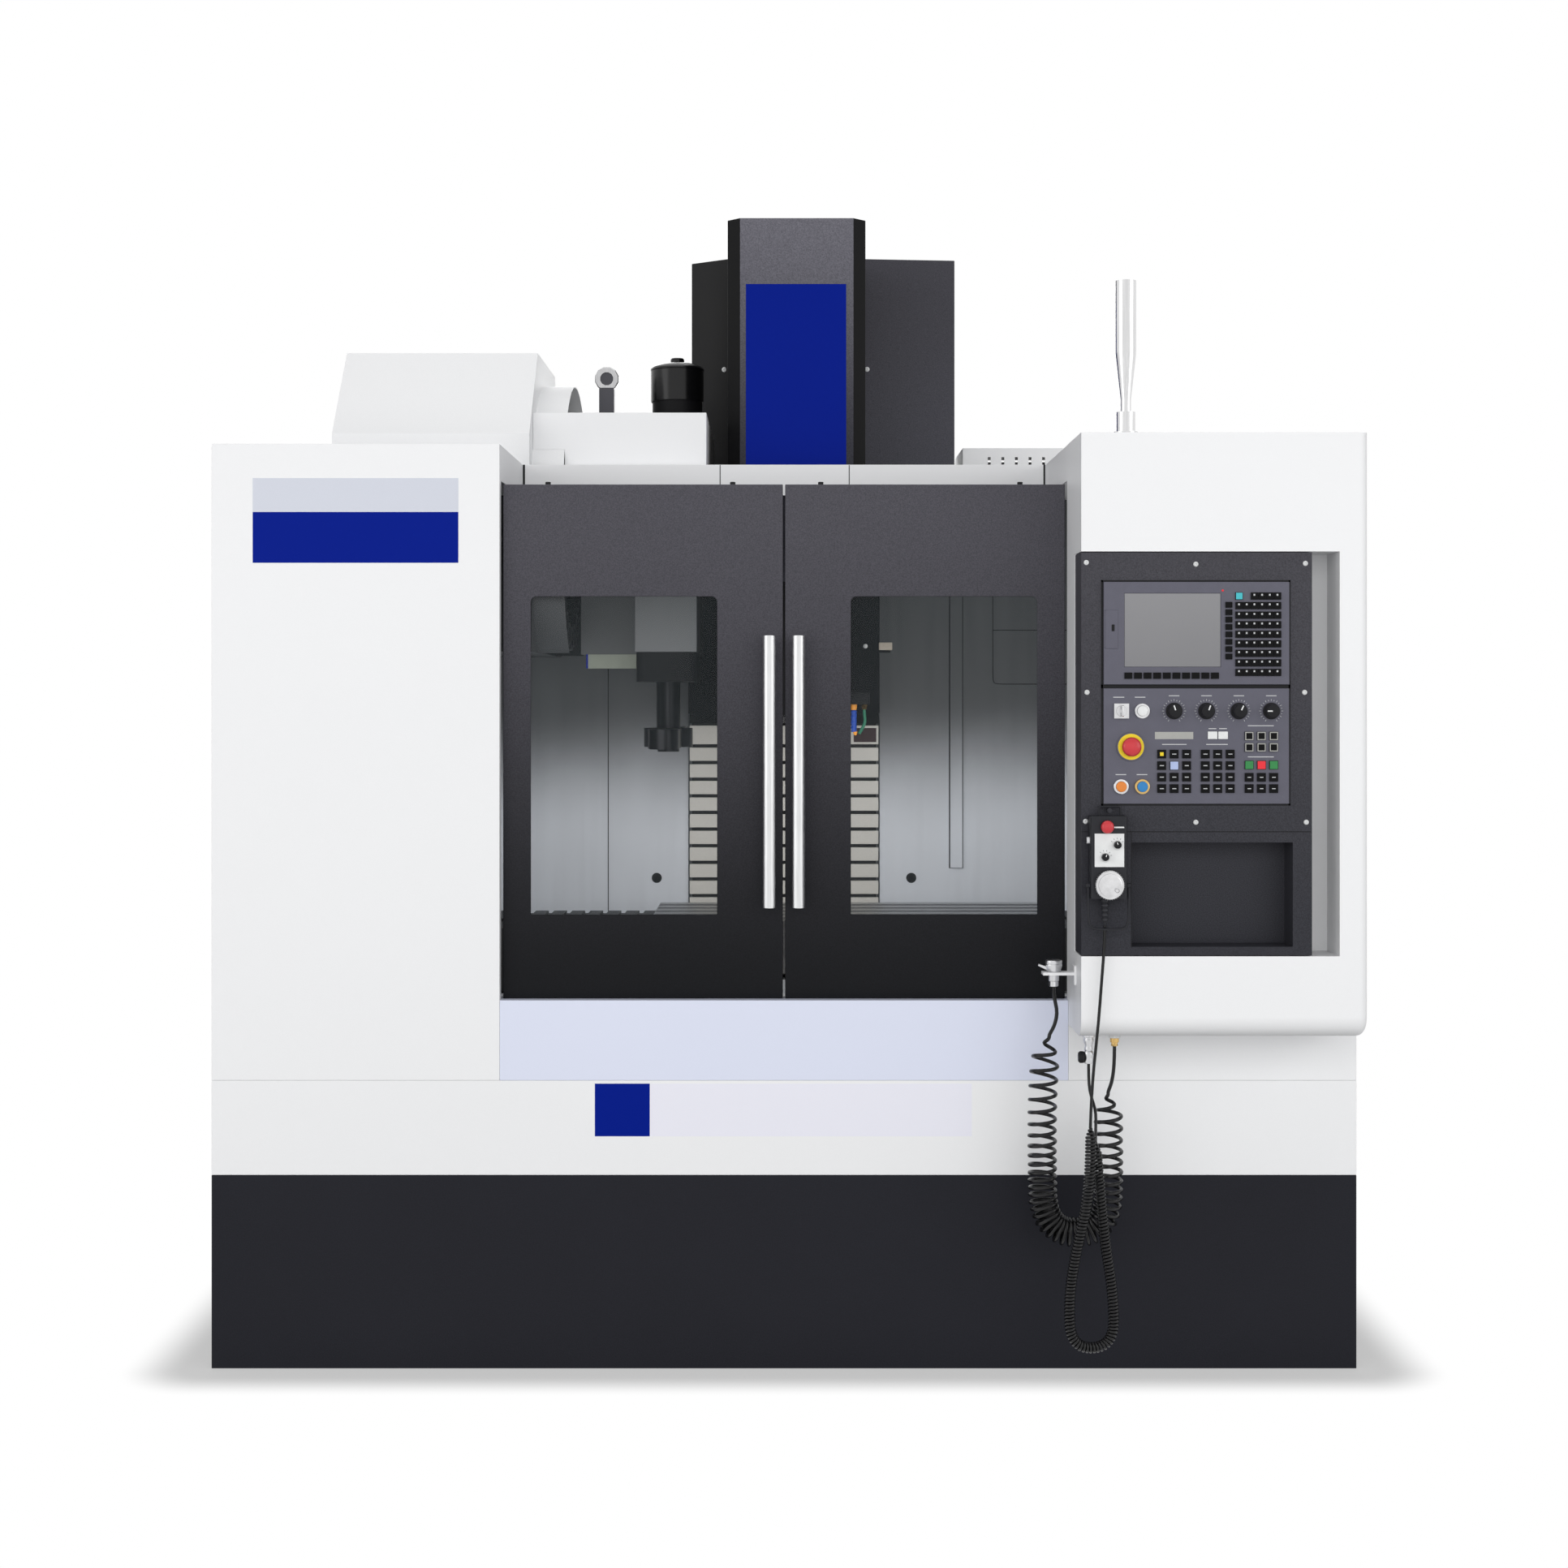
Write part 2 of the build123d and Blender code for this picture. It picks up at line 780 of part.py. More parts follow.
# Spindle motor, over the spindle on the head
with BuildPart() as spindle_motor:
    span_box(
        (-spindle_motor_half, spindle_motor_half),
        (-spindle_motor_half, spindle_motor_half),
        (head_top, spindle_motor_top),
    )
    chamfer(spindle_motor.edges().filter_by(Axis.Z), length=25)
    rod((0, 0, spindle_motor_top + 30), spindle_motor_half - 15, 60)
    span_box(
        (spindle_motor_half, spindle_motor_half + 60), (-60, 60), (head_top + 250, head_top + 380)
    )
finish(spindle_motor.part, "spindle_motor")

# Cover over the spindle motor, a folded shell that moves with the head
with BuildPart() as head_cover:
    for inset, mode in ((0, Mode.ADD), (sheet, Mode.SUBTRACT)):
        with BuildSketch(Plane.XY.offset(head_top)) as cover_plan:
            with Locations(
                ((head_cover_left + head_cover_right) / 2, (head_nose_front + head_cover_back) / 2)
            ):
                Rectangle(
                    head_cover_right - head_cover_left - 2 * inset,
                    head_cover_back - head_nose_front - 2 * inset,
                )
            chamfer(cover_plan.vertices().group_by(Axis.Y)[0], length=head_cover_chamfer)
        extrude(amount=head_cover_top - head_top - inset, mode=mode)
finish(head_cover.part, "head_cover")

# Coolant manifold on the right of the head with two jointed nozzles
nozzle_y = -50.0
manifold_bottom = 1448.0
with BuildPart() as coolant_nozzles:
    span_box((head_nose_half, head_nose_half + 66), (-78, -22), (manifold_bottom, manifold_bottom + 30))
    for nozzle_x in (176, 203):
        joint_top = manifold_bottom
        for joint_radius, joint_length in ((9, 18), (6.5, 8), (9, 18), (6.5, 8), (5, 24)):
            rod((nozzle_x, nozzle_y, joint_top - joint_length / 2), joint_radius, joint_length)
            joint_top -= joint_length
finish(coolant_nozzles.part, "coolant_nozzles")

# Changer gearbox with its motor on top and a bracket to the column
with BuildPart() as tool_changer_gearbox:
    with BuildSketch(Plane.XY.offset(gearbox_bottom)):
        with Locations((arm_x, 0)):
            RectangleRounded(2 * gearbox_half_width, 2 * gearbox_half_depth, 20)
    extrude(amount=gearbox_top - gearbox_bottom)
    span_box((arm_x - 70, arm_x), (gearbox_half_depth, column_front), (1860, 1990))
    span_box((arm_x - 70, -z_rail_x + 30), (column_front - 30, column_front), (1860, 1990))
    rod(
        (arm_x, 0, gearbox_bottom + 70),
        changer_shaft_radius + shaft_gap,
        160,
        "z",
        Mode.SUBTRACT,
    )
    with BuildSketch(Plane.XZ):
        with BuildLine():
            Polyline(
                (changer_motor_x, gearbox_top),
                (changer_motor_x + changer_motor_radius - 3, gearbox_top),
                (changer_motor_x + changer_motor_radius - 3, changer_flange_top),
                (changer_motor_x + changer_motor_radius, changer_flange_top),
                (changer_motor_x + changer_motor_radius, changer_motor_top - 28),
                (changer_motor_x + changer_motor_radius - 18, changer_motor_top - 18),
                (changer_motor_x + 17, changer_motor_top - 13),
                (changer_motor_x + 17, changer_motor_top),
                (changer_motor_x, changer_motor_top),
                close=True,
            )
        make_face()
    revolve(axis=Axis((changer_motor_x, 0, 0), (0, 0, 1)))
finish(tool_changer_gearbox.part, "tool_changer_gearbox")

# Changer shaft: it lifts, and the arm turns on its lower spigot above a retaining cap
arm_top = arm_bottom + arm_thickness
spigot_radius = 20.0
with BuildPart() as tool_changer_shaft:
    with BuildSketch(Plane.XZ):
        with BuildLine():
            Polyline(
                (arm_x, arm_bottom - slide_gap - 12),
                (arm_x + 28, arm_bottom - slide_gap - 12),
                (arm_x + 28, arm_bottom - slide_gap),
                (arm_x + spigot_radius, arm_bottom - slide_gap),
                (arm_x + spigot_radius, arm_top + slide_gap),
                (arm_x + changer_shaft_radius, arm_top + slide_gap),
                (arm_x + changer_shaft_radius, gearbox_bottom + 130),
                (arm_x, gearbox_bottom + 130),
                close=True,
            )
        make_face()
    revolve(axis=Axis((arm_x, 0, 0), (0, 0, 1)))
finish(tool_changer_shaft.part, "tool_changer_shaft")

# Changer arm with two open grippers, parked along Y
grip_circle = -arm_x
with BuildPart() as tool_changer_arm:
    with BuildSketch(Plane.XY.offset(arm_bottom)):
        with Locations((arm_x, 0)):
            Rectangle(arm_width, 2 * grip_circle)
            Circle(62)
            with Locations((0, grip_circle), (0, -grip_circle)):
                Circle(grip_radius + grip_rim)
            Circle(spigot_radius + shaft_gap, mode=Mode.SUBTRACT)
            with Locations((0, grip_circle), (0, -grip_circle)):
                Circle(grip_radius, mode=Mode.SUBTRACT)
            for side in (-1, 1):
                with Locations((side * 25, side * grip_circle)):
                    Rectangle(50, 2 * grip_radius - 8, mode=Mode.SUBTRACT)
    extrude(amount=arm_thickness)
finish(tool_changer_arm.part, "tool_changer_arm")

# Tool magazine: a disc on a pin with a ring of tool pots
hub_radius = 90.0
magazine_pin_radius = 30.0
pot_start = magazine_disc_x + magazine_disc_thickness
with BuildPart() as tool_magazine:
    with BuildSketch(Plane.YZ.offset(magazine_disc_x)):
        with Locations((0, magazine_z)):
            Circle(magazine_disc_radius)
    extrude(amount=magazine_disc_thickness)
    rod((magazine_disc_x + 10, 0, magazine_z), hub_radius, 140, "x")
    with BuildSketch(Plane.YZ.offset(pot_start)):
        with Locations((0, magazine_z)):
            with PolarLocations(pot_circle_radius, pot_count):
                RegularPolygon(pot_radius, pot_sides)
    extrude(amount=pot_length)
    with BuildSketch(Plane.YZ.offset(pot_start + pot_length)):
        with Locations((0, magazine_z)):
            with PolarLocations(pot_circle_radius, pot_count):
                RegularPolygon(pot_bore_radius, pot_sides)
    extrude(amount=-50, mode=Mode.SUBTRACT)
    rod(
        (magazine_disc_x - 30, 0, magazine_z),
        magazine_pin_radius + shaft_gap,
        100,
        "x",
        Mode.SUBTRACT,
    )
finish(tool_magazine.part, "tool_magazine")

# Magazine cover: a gabled shell with a drum hood at its right and the pin that carries the disc
with BuildPart() as magazine_cover:
    for inset, mode in ((0, Mode.ADD), (sheet, Mode.SUBTRACT)):
        with BuildSketch(Plane.YZ.offset(magazine_cover_left + inset)):
            with BuildLine():
                Polyline(
                    (-magazine_cover_half + inset, magazine_cover_bottom + inset),
                    (magazine_cover_half - inset, magazine_cover_bottom + inset),
                    (magazine_cover_half - inset, magazine_cover_lip - inset / 2),
                    (magazine_cover_ridge - inset / 2, magazine_cover_top - inset),
                    (-magazine_cover_ridge + inset / 2, magazine_cover_top - inset),
                    (-magazine_cover_half + inset, magazine_cover_lip - inset / 2),
                    close=True,
                )
            make_face()
        extrude(amount=magazine_cover_right - magazine_cover_left - 2 * inset, mode=mode)
    with BuildSketch(Plane.YZ.offset(magazine_cover_right - sheet)):
        with Locations((0, magazine_z)):
            Circle(hood_radius)
            Circle(hood_radius - sheet, mode=Mode.SUBTRACT)
        with Locations((0, magazine_cover_bottom - hood_radius)):
            Rectangle(2 * hood_radius, 2 * hood_radius, mode=Mode.SUBTRACT)
    extrude(amount=hood_right - magazine_cover_right + sheet)
    with BuildSketch(Plane.YZ.offset(magazine_cover_right - sheet)):
        with Locations((0, magazine_z)):
            Circle(hood_radius - sheet)
        with Locations((0, magazine_cover_bottom + sheet - hood_radius)):
            Rectangle(2 * hood_radius, 2 * hood_radius, mode=Mode.SUBTRACT)
    extrude(amount=sheet, mode=Mode.SUBTRACT)
    span_box((-830, -800), (-100, 100), (magazine_cover_bottom + sheet, magazine_cover_top - sheet))
    rod((magazine_disc_x - 75, 0, magazine_z), magazine_pin_radius, 150, "x")
finish(magazine_cover.part, "magazine_cover")

# Cover over the changer, cut out round the drum hood and the motor, with the lifting eye
eye_z = 2278.0
with BuildPart() as tool_changer_cover:
    cover_left = magazine_cover_right + seam
    for inset, mode in ((0, Mode.ADD), (sheet, Mode.SUBTRACT)):
        span_box(
            (cover_left + inset, changer_cover_right - inset),
            (-changer_cover_half + inset, changer_cover_half - inset),
            (cabinet_top, changer_cover_top - inset),
            mode,
        )
    hood_width = 2 * (hood_right + seam - magazine_cover_right)
    rod((magazine_cover_right, 0, magazine_z), hood_radius + seam, hood_width, "x", Mode.SUBTRACT)
    rod(
        (changer_motor_x, 0, changer_cover_top),
        changer_motor_radius - 3 + seam,
        2 * sheet + 2,
        "z",
        Mode.SUBTRACT,
    )
    span_box((eye_x - 18.5, eye_x + 18.5), (-18.5, 18.5), (changer_cover_top, eye_z - 22))
    rod((eye_x, 0, eye_z), 29, 14, "y")
    rod((eye_x, 0, eye_z), 15, 14, "y", Mode.SUBTRACT)
finish(tool_changer_cover.part, "tool_changer_cover")

# Shroud round the top of the column
with BuildPart() as column_shroud:
    with BuildSketch(Plane.XY.offset(cabinet_top)) as shroud_plan:
        with BuildLine():
            Polyline(*shroud_outline, close=True)
        make_face()
    extrude(amount=shroud_top - cabinet_top)
    with BuildSketch(Plane.XY.offset(cabinet_top)):
        add(shroud_plan.sketch.faces()[0].moved(Location((0, 0, 0))))
        offset(amount=-sheet, kind=Kind.INTERSECTION, mode=Mode.REPLACE)
    extrude(amount=shroud_top - cabinet_top - sheet, mode=Mode.SUBTRACT)
finish(column_shroud.part, "column_shroud")

# Enclosure halves: front, side, roof and the returns at the door opening
side_bottom = band_top
jamb_depth = 27.0
return_bottom = 1940.0
for side, name in ((-1, "left_enclosure"), (1, "right_enclosure")):
    inner = side * opening_half
    outer = side * half
    with BuildPart() as enclosure:
        span_box((inner, outer), (cabinet_front, cabinet_back), (side_bottom, cabinet_top))
        span_box(
            (inner + side * sheet, outer - side * sheet),
            (cabinet_front + sheet, cabinet_back - sheet),
            (side_bottom, cabinet_top - sheet),
            Mode.SUBTRACT,
        )
        span_box(
            (inner, inner + side * sheet),
            (cabinet_front + jamb_depth, cabinet_back - sheet),
            (side_bottom, return_bottom),
            Mode.SUBTRACT,
        )
        span_box(
            (inner, inner + side * sheet),
            (lintel_front, cabinet_back - sheet),
            (side_bottom, cabinet_top - sheet),
            Mode.SUBTRACT,
        )
        span_box(
            (inner, side * (liner_half + seam)),
            (cabinet_back - sheet, cabinet_back),
            (side_bottom, cabinet_top - sheet),
            Mode.SUBTRACT,
        )
        if side < 0:
            span_box(
                (magazine_cover_left - seam, inner),
                (-magazine_cover_half - seam, magazine_cover_half + seam),
                (cabinet_top - sheet, cabinet_top),
                Mode.SUBTRACT,
            )
    finish(enclosure.part, name)

# Work area liner: side walls, chip slopes, a back wall with the head's slot and a front apron
slope_outer_z = 600.0
slope_inner_z = 475.0
slot_half = z_cover_half + 4
liner_top = cabinet_top - sheet - seam
bed_side = bed_width / 2 + seam
with BuildPart() as splash_liner:
    for side in (-1, 1):
        with BuildSketch(Plane.XZ.offset(-liner_back)):
            with BuildLine():
                Polyline(
                    (side * liner_half, liner_top),
                    (side * liner_half, slope_outer_z),
                    (side * bed_side, slope_inner_z),
                    (side * bed_side, slope_inner_z + sheet),
                    (side * (liner_half - sheet), slope_outer_z + sheet),
                    (side * (liner_half - sheet), liner_top),
                    close=True,
                )
            make_face()
        extrude(amount=liner_back - liner_front)
    for wall_back, wall_top in ((cabinet_back, liner_top), (liner_front + sheet, door_bottom - 20)):
        with BuildSketch(Plane.XZ.offset(-wall_back)):
            with BuildLine():
                Polyline(
                    (-liner_half, wall_top),
                    (-liner_half, slope_outer_z),
                    (-bed_side, slope_inner_z),
                    (-bed_side, bed_top + seam),
                    (bed_side, bed_top + seam),
                    (bed_side, slope_inner_z),
                    (liner_half, slope_outer_z),
                    (liner_half, wall_top),
                    close=True,
                )
            make_face()
        extrude(amount=sheet)
    span_box(
        (-slot_half, slot_half),
        (liner_back - 1, cabinet_back + 1),
        (z_cover_bottom - seam, liner_top + 1),
        Mode.SUBTRACT,
    )
    span_box(
        (arm_x - 75, 0), (liner_back - 1, cabinet_back + 1), (1855, liner_top + 1), Mode.SUBTRACT
    )
    span_box(
        (-liner_half - 1, liner_half + 1),
        (liner_front - 1, door_leaf_back + 10),
        (door_top - 18, liner_top + 1),
        Mode.SUBTRACT,
    )
    span_box((462, 495), (liner_back - 12, liner_back), (993, liner_top))
    for bolt_x in (-354, 354):
        rod((bolt_x, liner_back - 3, 964), 9, 6, "y")
finish(splash_liner.part, "splash_liner")

# White band under the doors, wrapped round the front and both sides
with BuildPart() as lower_panel:
    span_box((-half, half), (cabinet_front, cabinet_back), (base_top + seam, band_top - seam))
    span_box(
        (-half + sheet, half - sheet),
        (cabinet_front + sheet, cabinet_back + 1),
        (base_top + seam, band_top - seam),
        Mode.SUBTRACT,
    )
finish(lower_panel.part, "lower_panel")

# Roof between the enclosure halves, folded down into the lintel
with BuildPart() as roof_panel:
    roof_half = opening_half - seam
    span_box((-roof_half, roof_half), (lintel_front, cabinet_back), (cabinet_top - sheet, cabinet_top))
    span_box(
        (-roof_half + sheet, roof_half - sheet),
        (lintel_front, lintel_front + sheet),
        (lintel_bottom, cabinet_top - sheet),
    )
    for x_span, y_half in (
        ((-roof_half, hood_right + seam), magazine_cover_half + seam),
        ((-roof_half, changer_cover_right - 25), changer_cover_half - 20),
    ):
        span_box(x_span, (-y_half, y_half), (cabinet_top - sheet, cabinet_top), Mode.SUBTRACT)
    span_box((-180, 250), (-394, 440), (cabinet_top - sheet, cabinet_top), Mode.SUBTRACT)
finish(roof_panel.part, "roof_panel")

# Sill panel under the doors, with the rail that the doors run on
rail_top = door_bottom - slide_gap
with BuildPart() as sill_panel:
    sill_half = opening_half - seam
    span_box((-sill_half, sill_half), (cabinet_front, cabinet_front + sheet), (band_top, rail_top))
    span_box(
        (-sill_half, sill_half), (cabinet_front, door_front + 5), (rail_top - sheet, rail_top)
    )
    span_box(
        (-opening_half - door_travel, opening_half + door_travel),
        (door_front + 3, door_front + door_thickness - 3),
        (rail_top - 18, rail_top),
    )
finish(sill_panel.part, "sill_panel")

# Doors: a tray with a window frame and a leaf that closes the roof, the pane and the handle
door_back = door_front + door_thickness
window_width = window_outer_x - window_inner_x
window_height = window_top - window_bottom
window_x = (window_inner_x + window_outer_x) / 2
window_z = (window_bottom + window_top) / 2
pane_front = door_front + sheet
for side, hand in ((-1, "left"), (1, "right")):
    with BuildPart() as door:
        span_box(
            (side * door_inner_x, side * door_outer_x), (door_front, door_back), (door_bottom, door_top)
        )
        span_box(
            (side * (door_inner_x + sheet), side * (door_outer_x - sheet)),
            (pane_front, door_back),
            (door_bottom + sheet, door_top - door_leaf_thickness),
            Mode.SUBTRACT,
        )
        span_box(
            (side * door_inner_x, side * door_outer_x),
            (door_back, door_leaf_back),
            (door_top - door_leaf_thickness, door_top),
        )
        with BuildSketch(Plane.XZ.offset(-pane_front)):
            with Locations((side * window_x, window_z)):
                frame_size = (window_width + 2 * pane_lap + 6, window_height + 2 * pane_lap + 6)
                Rectangle(*frame_size)
                pocket_size = (window_width + 2 * pane_lap, window_height + 2 * pane_lap)
                Rectangle(*pocket_size, mode=Mode.SUBTRACT)
        extrude(amount=-pane_thickness - 10)
        with BuildSketch(Plane.XZ.offset(-door_front)) as window_hole:
            with Locations((side * window_x, window_z)):
                Rectangle(window_width, window_height)
            fillet(window_hole.vertices().group_by(Axis.Y)[-1], radius=window_corner)
        extrude(amount=-sheet, mode=Mode.SUBTRACT)
    finish(door.part, f"{hand}_door")
    with BuildPart() as window:
        with BuildSketch(Plane.XZ.offset(-pane_front)):
            with Locations((side * window_x, window_z)):
                Rectangle(
                    window_width + 2 * (pane_lap - seam), window_height + 2 * (pane_lap - seam)
                )
        extrude(amount=-pane_thickness)
    finish(window.part, f"{hand}_window")
    bar_x = side * handle_x
    bar_y = door_front - handle_reach
    with BuildPart() as handle:
        rod((bar_x, bar_y, (handle_bottom + handle_top) / 2), handle_radius, handle_top - handle_bottom)
        for post_z in (handle_bottom + handle_inset, handle_top - handle_inset):
            rod((bar_x, (bar_y + door_front) / 2, post_z), handle_post_radius, handle_reach, "y")
    finish(handle.part, f"{hand}_handle")

# Control box: the console's pocket, its hinge pins, the hook and the sockets below
hinge_x = box_left + hinge_inset
console_back = pocket_back - console_gap
hinge_y = console_back - hinge_inset
with BuildPart() as control_box:
    span_box((box_left, box_right), (box_front, cabinet_front), (box_bottom, cabinet_top))
    front_bottom = control_box.faces().sort_by(Axis.Y)[0].edges().sort_by(Axis.Z)[0]
    fillet(front_bottom, radius=box_edge_radius)
    right_corner = (
        control_box.edges().filter_by(Axis.Y).sort_by(Axis.Z).group_by(Axis.Z)[0].sort_by(Axis.X)[-1]
    )
    fillet(right_corner, radius=box_corner_radius)
    offset(amount=-sheet, openings=control_box.faces().sort_by(Axis.Y)[-1])
    for wall, mode in ((sheet, Mode.ADD), (0, Mode.SUBTRACT)):
        span_box(
            (box_left, pocket_right + wall),
            (box_front, pocket_back + wall),
            (pocket_bottom - wall, pocket_top + wall),
            mode,
        )
    for pin_low, pin_high in (
        (pocket_bottom - 5, pocket_bottom + pin_length),
        (pocket_top - pin_length, pocket_top + 5),
    ):
        rod((hinge_x, hinge_y, (pin_low + pin_high) / 2), pin_radius, pin_high - pin_low)
    hook_end = gun_x - 24
    with BuildSketch(Plane.XY.offset(hook_z)):
        with Locations(((hook_end + box_left) / 2, gun_y)):
            Rectangle(box_left - hook_end, 34)
        with Locations((gun_x, gun_y)):
            Circle(13, mode=Mode.SUBTRACT)
    extrude(amount=hook_thickness)
    span_box((box_left - 4, box_left), (gun_y - 17, gun_y + 17), (hook_z - 20, hook_z + 20))
    with BuildSketch(Plane.XZ.offset(-fitting_y)):
        with BuildLine():
            Polyline(
                (plug_x, box_bottom),
                (plug_x + 14, box_bottom),
                (plug_x + 14, box_bottom - 8),
                (plug_x + 10, box_bottom - 8),
                (plug_x + 10, box_bottom - 20),
                (plug_x + 8, box_bottom - 24),
                (plug_x + 8, box_bottom - 38),
                (plug_x + 10, box_bottom - 42),
                (plug_x + 9, plug_bottom),
                (plug_x, plug_bottom),
                close=True,
            )
        make_face()
    revolve(axis=Axis((plug_x, fitting_y, 0), (0, 0, 1)))
    with BuildSketch(Plane.XZ.offset(-fitting_y)):
        with BuildLine():
            Polyline(
                (brass_x, box_bottom),
                (brass_x + 10, box_bottom),
                (brass_x + 10, box_bottom - 12),
                (brass_x + 7, box_bottom - 14),
                (brass_x + 7, brass_bottom),
                (brass_x, brass_bottom),
                close=True,
            )
        make_face()
    revolve(axis=Axis((brass_x, fitting_y, 0), (0, 0, 1)))
finish(control_box.part, "control_box")

# Console: it swings on the box's pins and holds the tray, the panels and the pendant's peg
console_bottom = pocket_bottom + console_gap
console_top = pocket_top - console_gap
unit_face = box_front - unit_thickness
panel_face = box_front - panel_thickness
peg_radius = 5.0
loop_top = 1239.0
peg_z = loop_top - 2 * wire_radius - seam - peg_radius
control_places = (
    (stop_x, stop_z, stem_radius),
    (left_button_x, button_z, button_radius),
    (right_button_x, button_z, button_radius),
    (right_button_x, dial_z, button_radius),
    (lock_x, dial_z, button_radius),
)
with BuildPart() as console:
    span_box((box_left, console_right), (box_front, console_back), (console_bottom, console_top))
    hinge_edge = console.edges().filter_by(Axis.Z).sort_by(Axis.X).group_by(Axis.X)[0].sort_by(Axis.Y)[-1]
    fillet(hinge_edge, radius=hinge_inset - 0.5)
    span_box(
        (hinge_post, console_right - sheet),
        (box_front + sheet, console_back - sheet),
        (console_bottom + sheet, console_top - sheet),
        Mode.SUBTRACT,
    )
    span_box(
        (hinge_post, hinge_post + 60),
        (console_back - sheet, console_back),
        (1500, 1700),
        Mode.SUBTRACT,
    )
    span_box(
        (tray_left - sheet, tray_right + sheet),
        (box_front, box_front + tray_depth + sheet),
        (tray_bottom - sheet, tray_top + sheet),
    )
    for z_end, way in ((console_bottom, 1), (console_top, -1)):
        rod((hinge_x, hinge_y, z_end + way * 12), pin_radius + shaft_gap, 24, "z", Mode.SUBTRACT)
    span_box(
        (tray_left, tray_right), (box_front, box_front + tray_depth), (tray_bottom, tray_top), Mode.SUBTRACT
    )
    for hole_x, hole_z, hole_radius in control_places:
        rod((hole_x, box_front, hole_z), hole_radius + shaft_gap, 60, "y", Mode.SUBTRACT)
    for knob in range(knob_count):
        knob_x = knob_first_x + knob * knob_pitch
        rod((knob_x, box_front, dial_z), 4 + shaft_gap, 30, "y", Mode.SUBTRACT)
    rod((pendant_x + 5, box_front - 9, peg_z), peg_radius, 18, "y")
finish(console.part, "console")

# Control unit with its screen recess and the operator panel below it
with BuildPart() as cnc_unit:
    span_box((unit_left, unit_right), (unit_face, box_front), (unit_bottom, unit_top))
    span_box(
        (screen_left, screen_right),
        (unit_face, unit_face + screen_recess),
        (screen_bottom, screen_top),
        Mode.SUBTRACT,
    )
    span_box((670, 696), (unit_face - 2, unit_face), (1567, 1647))
    span_box((unit_left, unit_right), (panel_face, box_front), (panel_bottom, panel_top))
    rod((stop_x, panel_face - 2, stop_z), stop_ring_radius, 4, "y")
    for ring_x, ring_z in (
        (left_button_x, button_z),
        (right_button_x, button_z),
        (right_button_x, dial_z),
        (lock_x, dial_z),
    ):
        rod((ring_x, panel_face - 4, ring_z), button_ring_radius, 8, "y")
    for hole_x, hole_z, hole_radius in control_places:
        rod((hole_x, box_front, hole_z), hole_radius + shaft_gap, 60, "y", Mode.SUBTRACT)
    for knob in range(knob_count):
        knob_x = knob_first_x + knob * knob_pitch
        rod((knob_x, box_front, dial_z), 4 + shaft_gap, 30, "y", Mode.SUBTRACT)
finish(cnc_unit.part, "cnc_unit")

# Keys: soft keys, a column beside the screen, the keypad and the operator's key groups
key_places = [(717.8 + 20.06 * n, 1510.3, 16, 13) for n in range(10)]
key_places += [(927.5, 1550.2 + 15.4 * n, 14, 12) for n in range(8)]
for row in range(9):
    for column_number in range(6):
        if row < 8 or column_number in (0, 2, 3, 4, 5):
            key_places.append((948.7 + 16.02 * column_number, 1517.1 + 19.9 * row, 15, 15))
panel_keys_places = []
for group_x in (787.8, 878.7):
    for column_number in range(3):
        for row in range(4):
            panel_keys_places.append((group_x + 26 * column_number, 1274.8 + 24 * row, 18, 18))
for column_number in range(3):
    for key_z in (1274.8, 1298.4, 1324.0, 1360.8, 1384.5):
        panel_keys_places.append((970.2 + 25.6 * column_number, key_z, 18, 18))
with BuildPart() as panel_keys:
    for places, face in ((key_places, unit_face), (panel_keys_places, panel_face)):
        with BuildSketch(Plane.XZ.offset(-face)):
            for key_x, key_z, key_width, key_tall in places:
                with Locations((key_x, key_z)):
                    Rectangle(key_width, key_tall)
        extrude(amount=key_height)
finish(panel_keys.part, "panel_keys")

# Override knobs: a skirt, a grip and a stem in the panel
for knob in range(knob_count):
    knob_x = knob_first_x + knob * knob_pitch
    with BuildPart() as override_knob:
        rod((knob_x, panel_face - slide_gap - 2, dial_z), knob_base_radius, 4, "y")
        rod((knob_x, panel_face - slide_gap - 4 - knob_length / 2, dial_z), knob_radius, knob_length, "y")
        rod((knob_x, panel_face - slide_gap + 7, dial_z), 4, 14, "y")
        for flat in (-1, 1):
            span_box(
                (knob_x - flat * 7, knob_x - flat * knob_radius),
                (panel_face - slide_gap - 4 - knob_length, panel_face - slide_gap - 12),
                (dial_z - knob_radius, dial_z + knob_radius),
                Mode.SUBTRACT,
            )
    finish(override_knob.part, f"override_knob_{knob + 1}")

# Emergency stop: a mushroom head on a stem
ring_face = panel_face - 4
with BuildPart() as emergency_stop:
    stop_back = ring_face - stop_travel - 1
    rod((stop_x, stop_back - 7, stop_z), stop_radius, 14, "y")
    chamfer(emergency_stop.faces().sort_by(Axis.Y)[0].edges(), length=4, length2=8)
    chamfer(emergency_stop.faces().sort_by(Axis.Y)[0].edges(), length=2, length2=7)
    rod((stop_x, (stop_back + box_front + 20) / 2, stop_z), stem_radius, box_front + 20 - stop_back, "y")
finish(emergency_stop.part, "emergency_stop")

# Round buttons in their rings, and the key switch
ring_front = panel_face - 8
for name, button_x, place_z in (
    ("start_button", left_button_x, button_z),
    ("reset_button", right_button_x, button_z),
    ("power_button", right_button_x, dial_z),
):
    with BuildPart() as button:
        button_length = 36
        button_y = ring_front - button_travel - 1 + button_length / 2
        rod((button_x, button_y, place_z), button_radius, button_length, "y")
    finish(button.part, name)

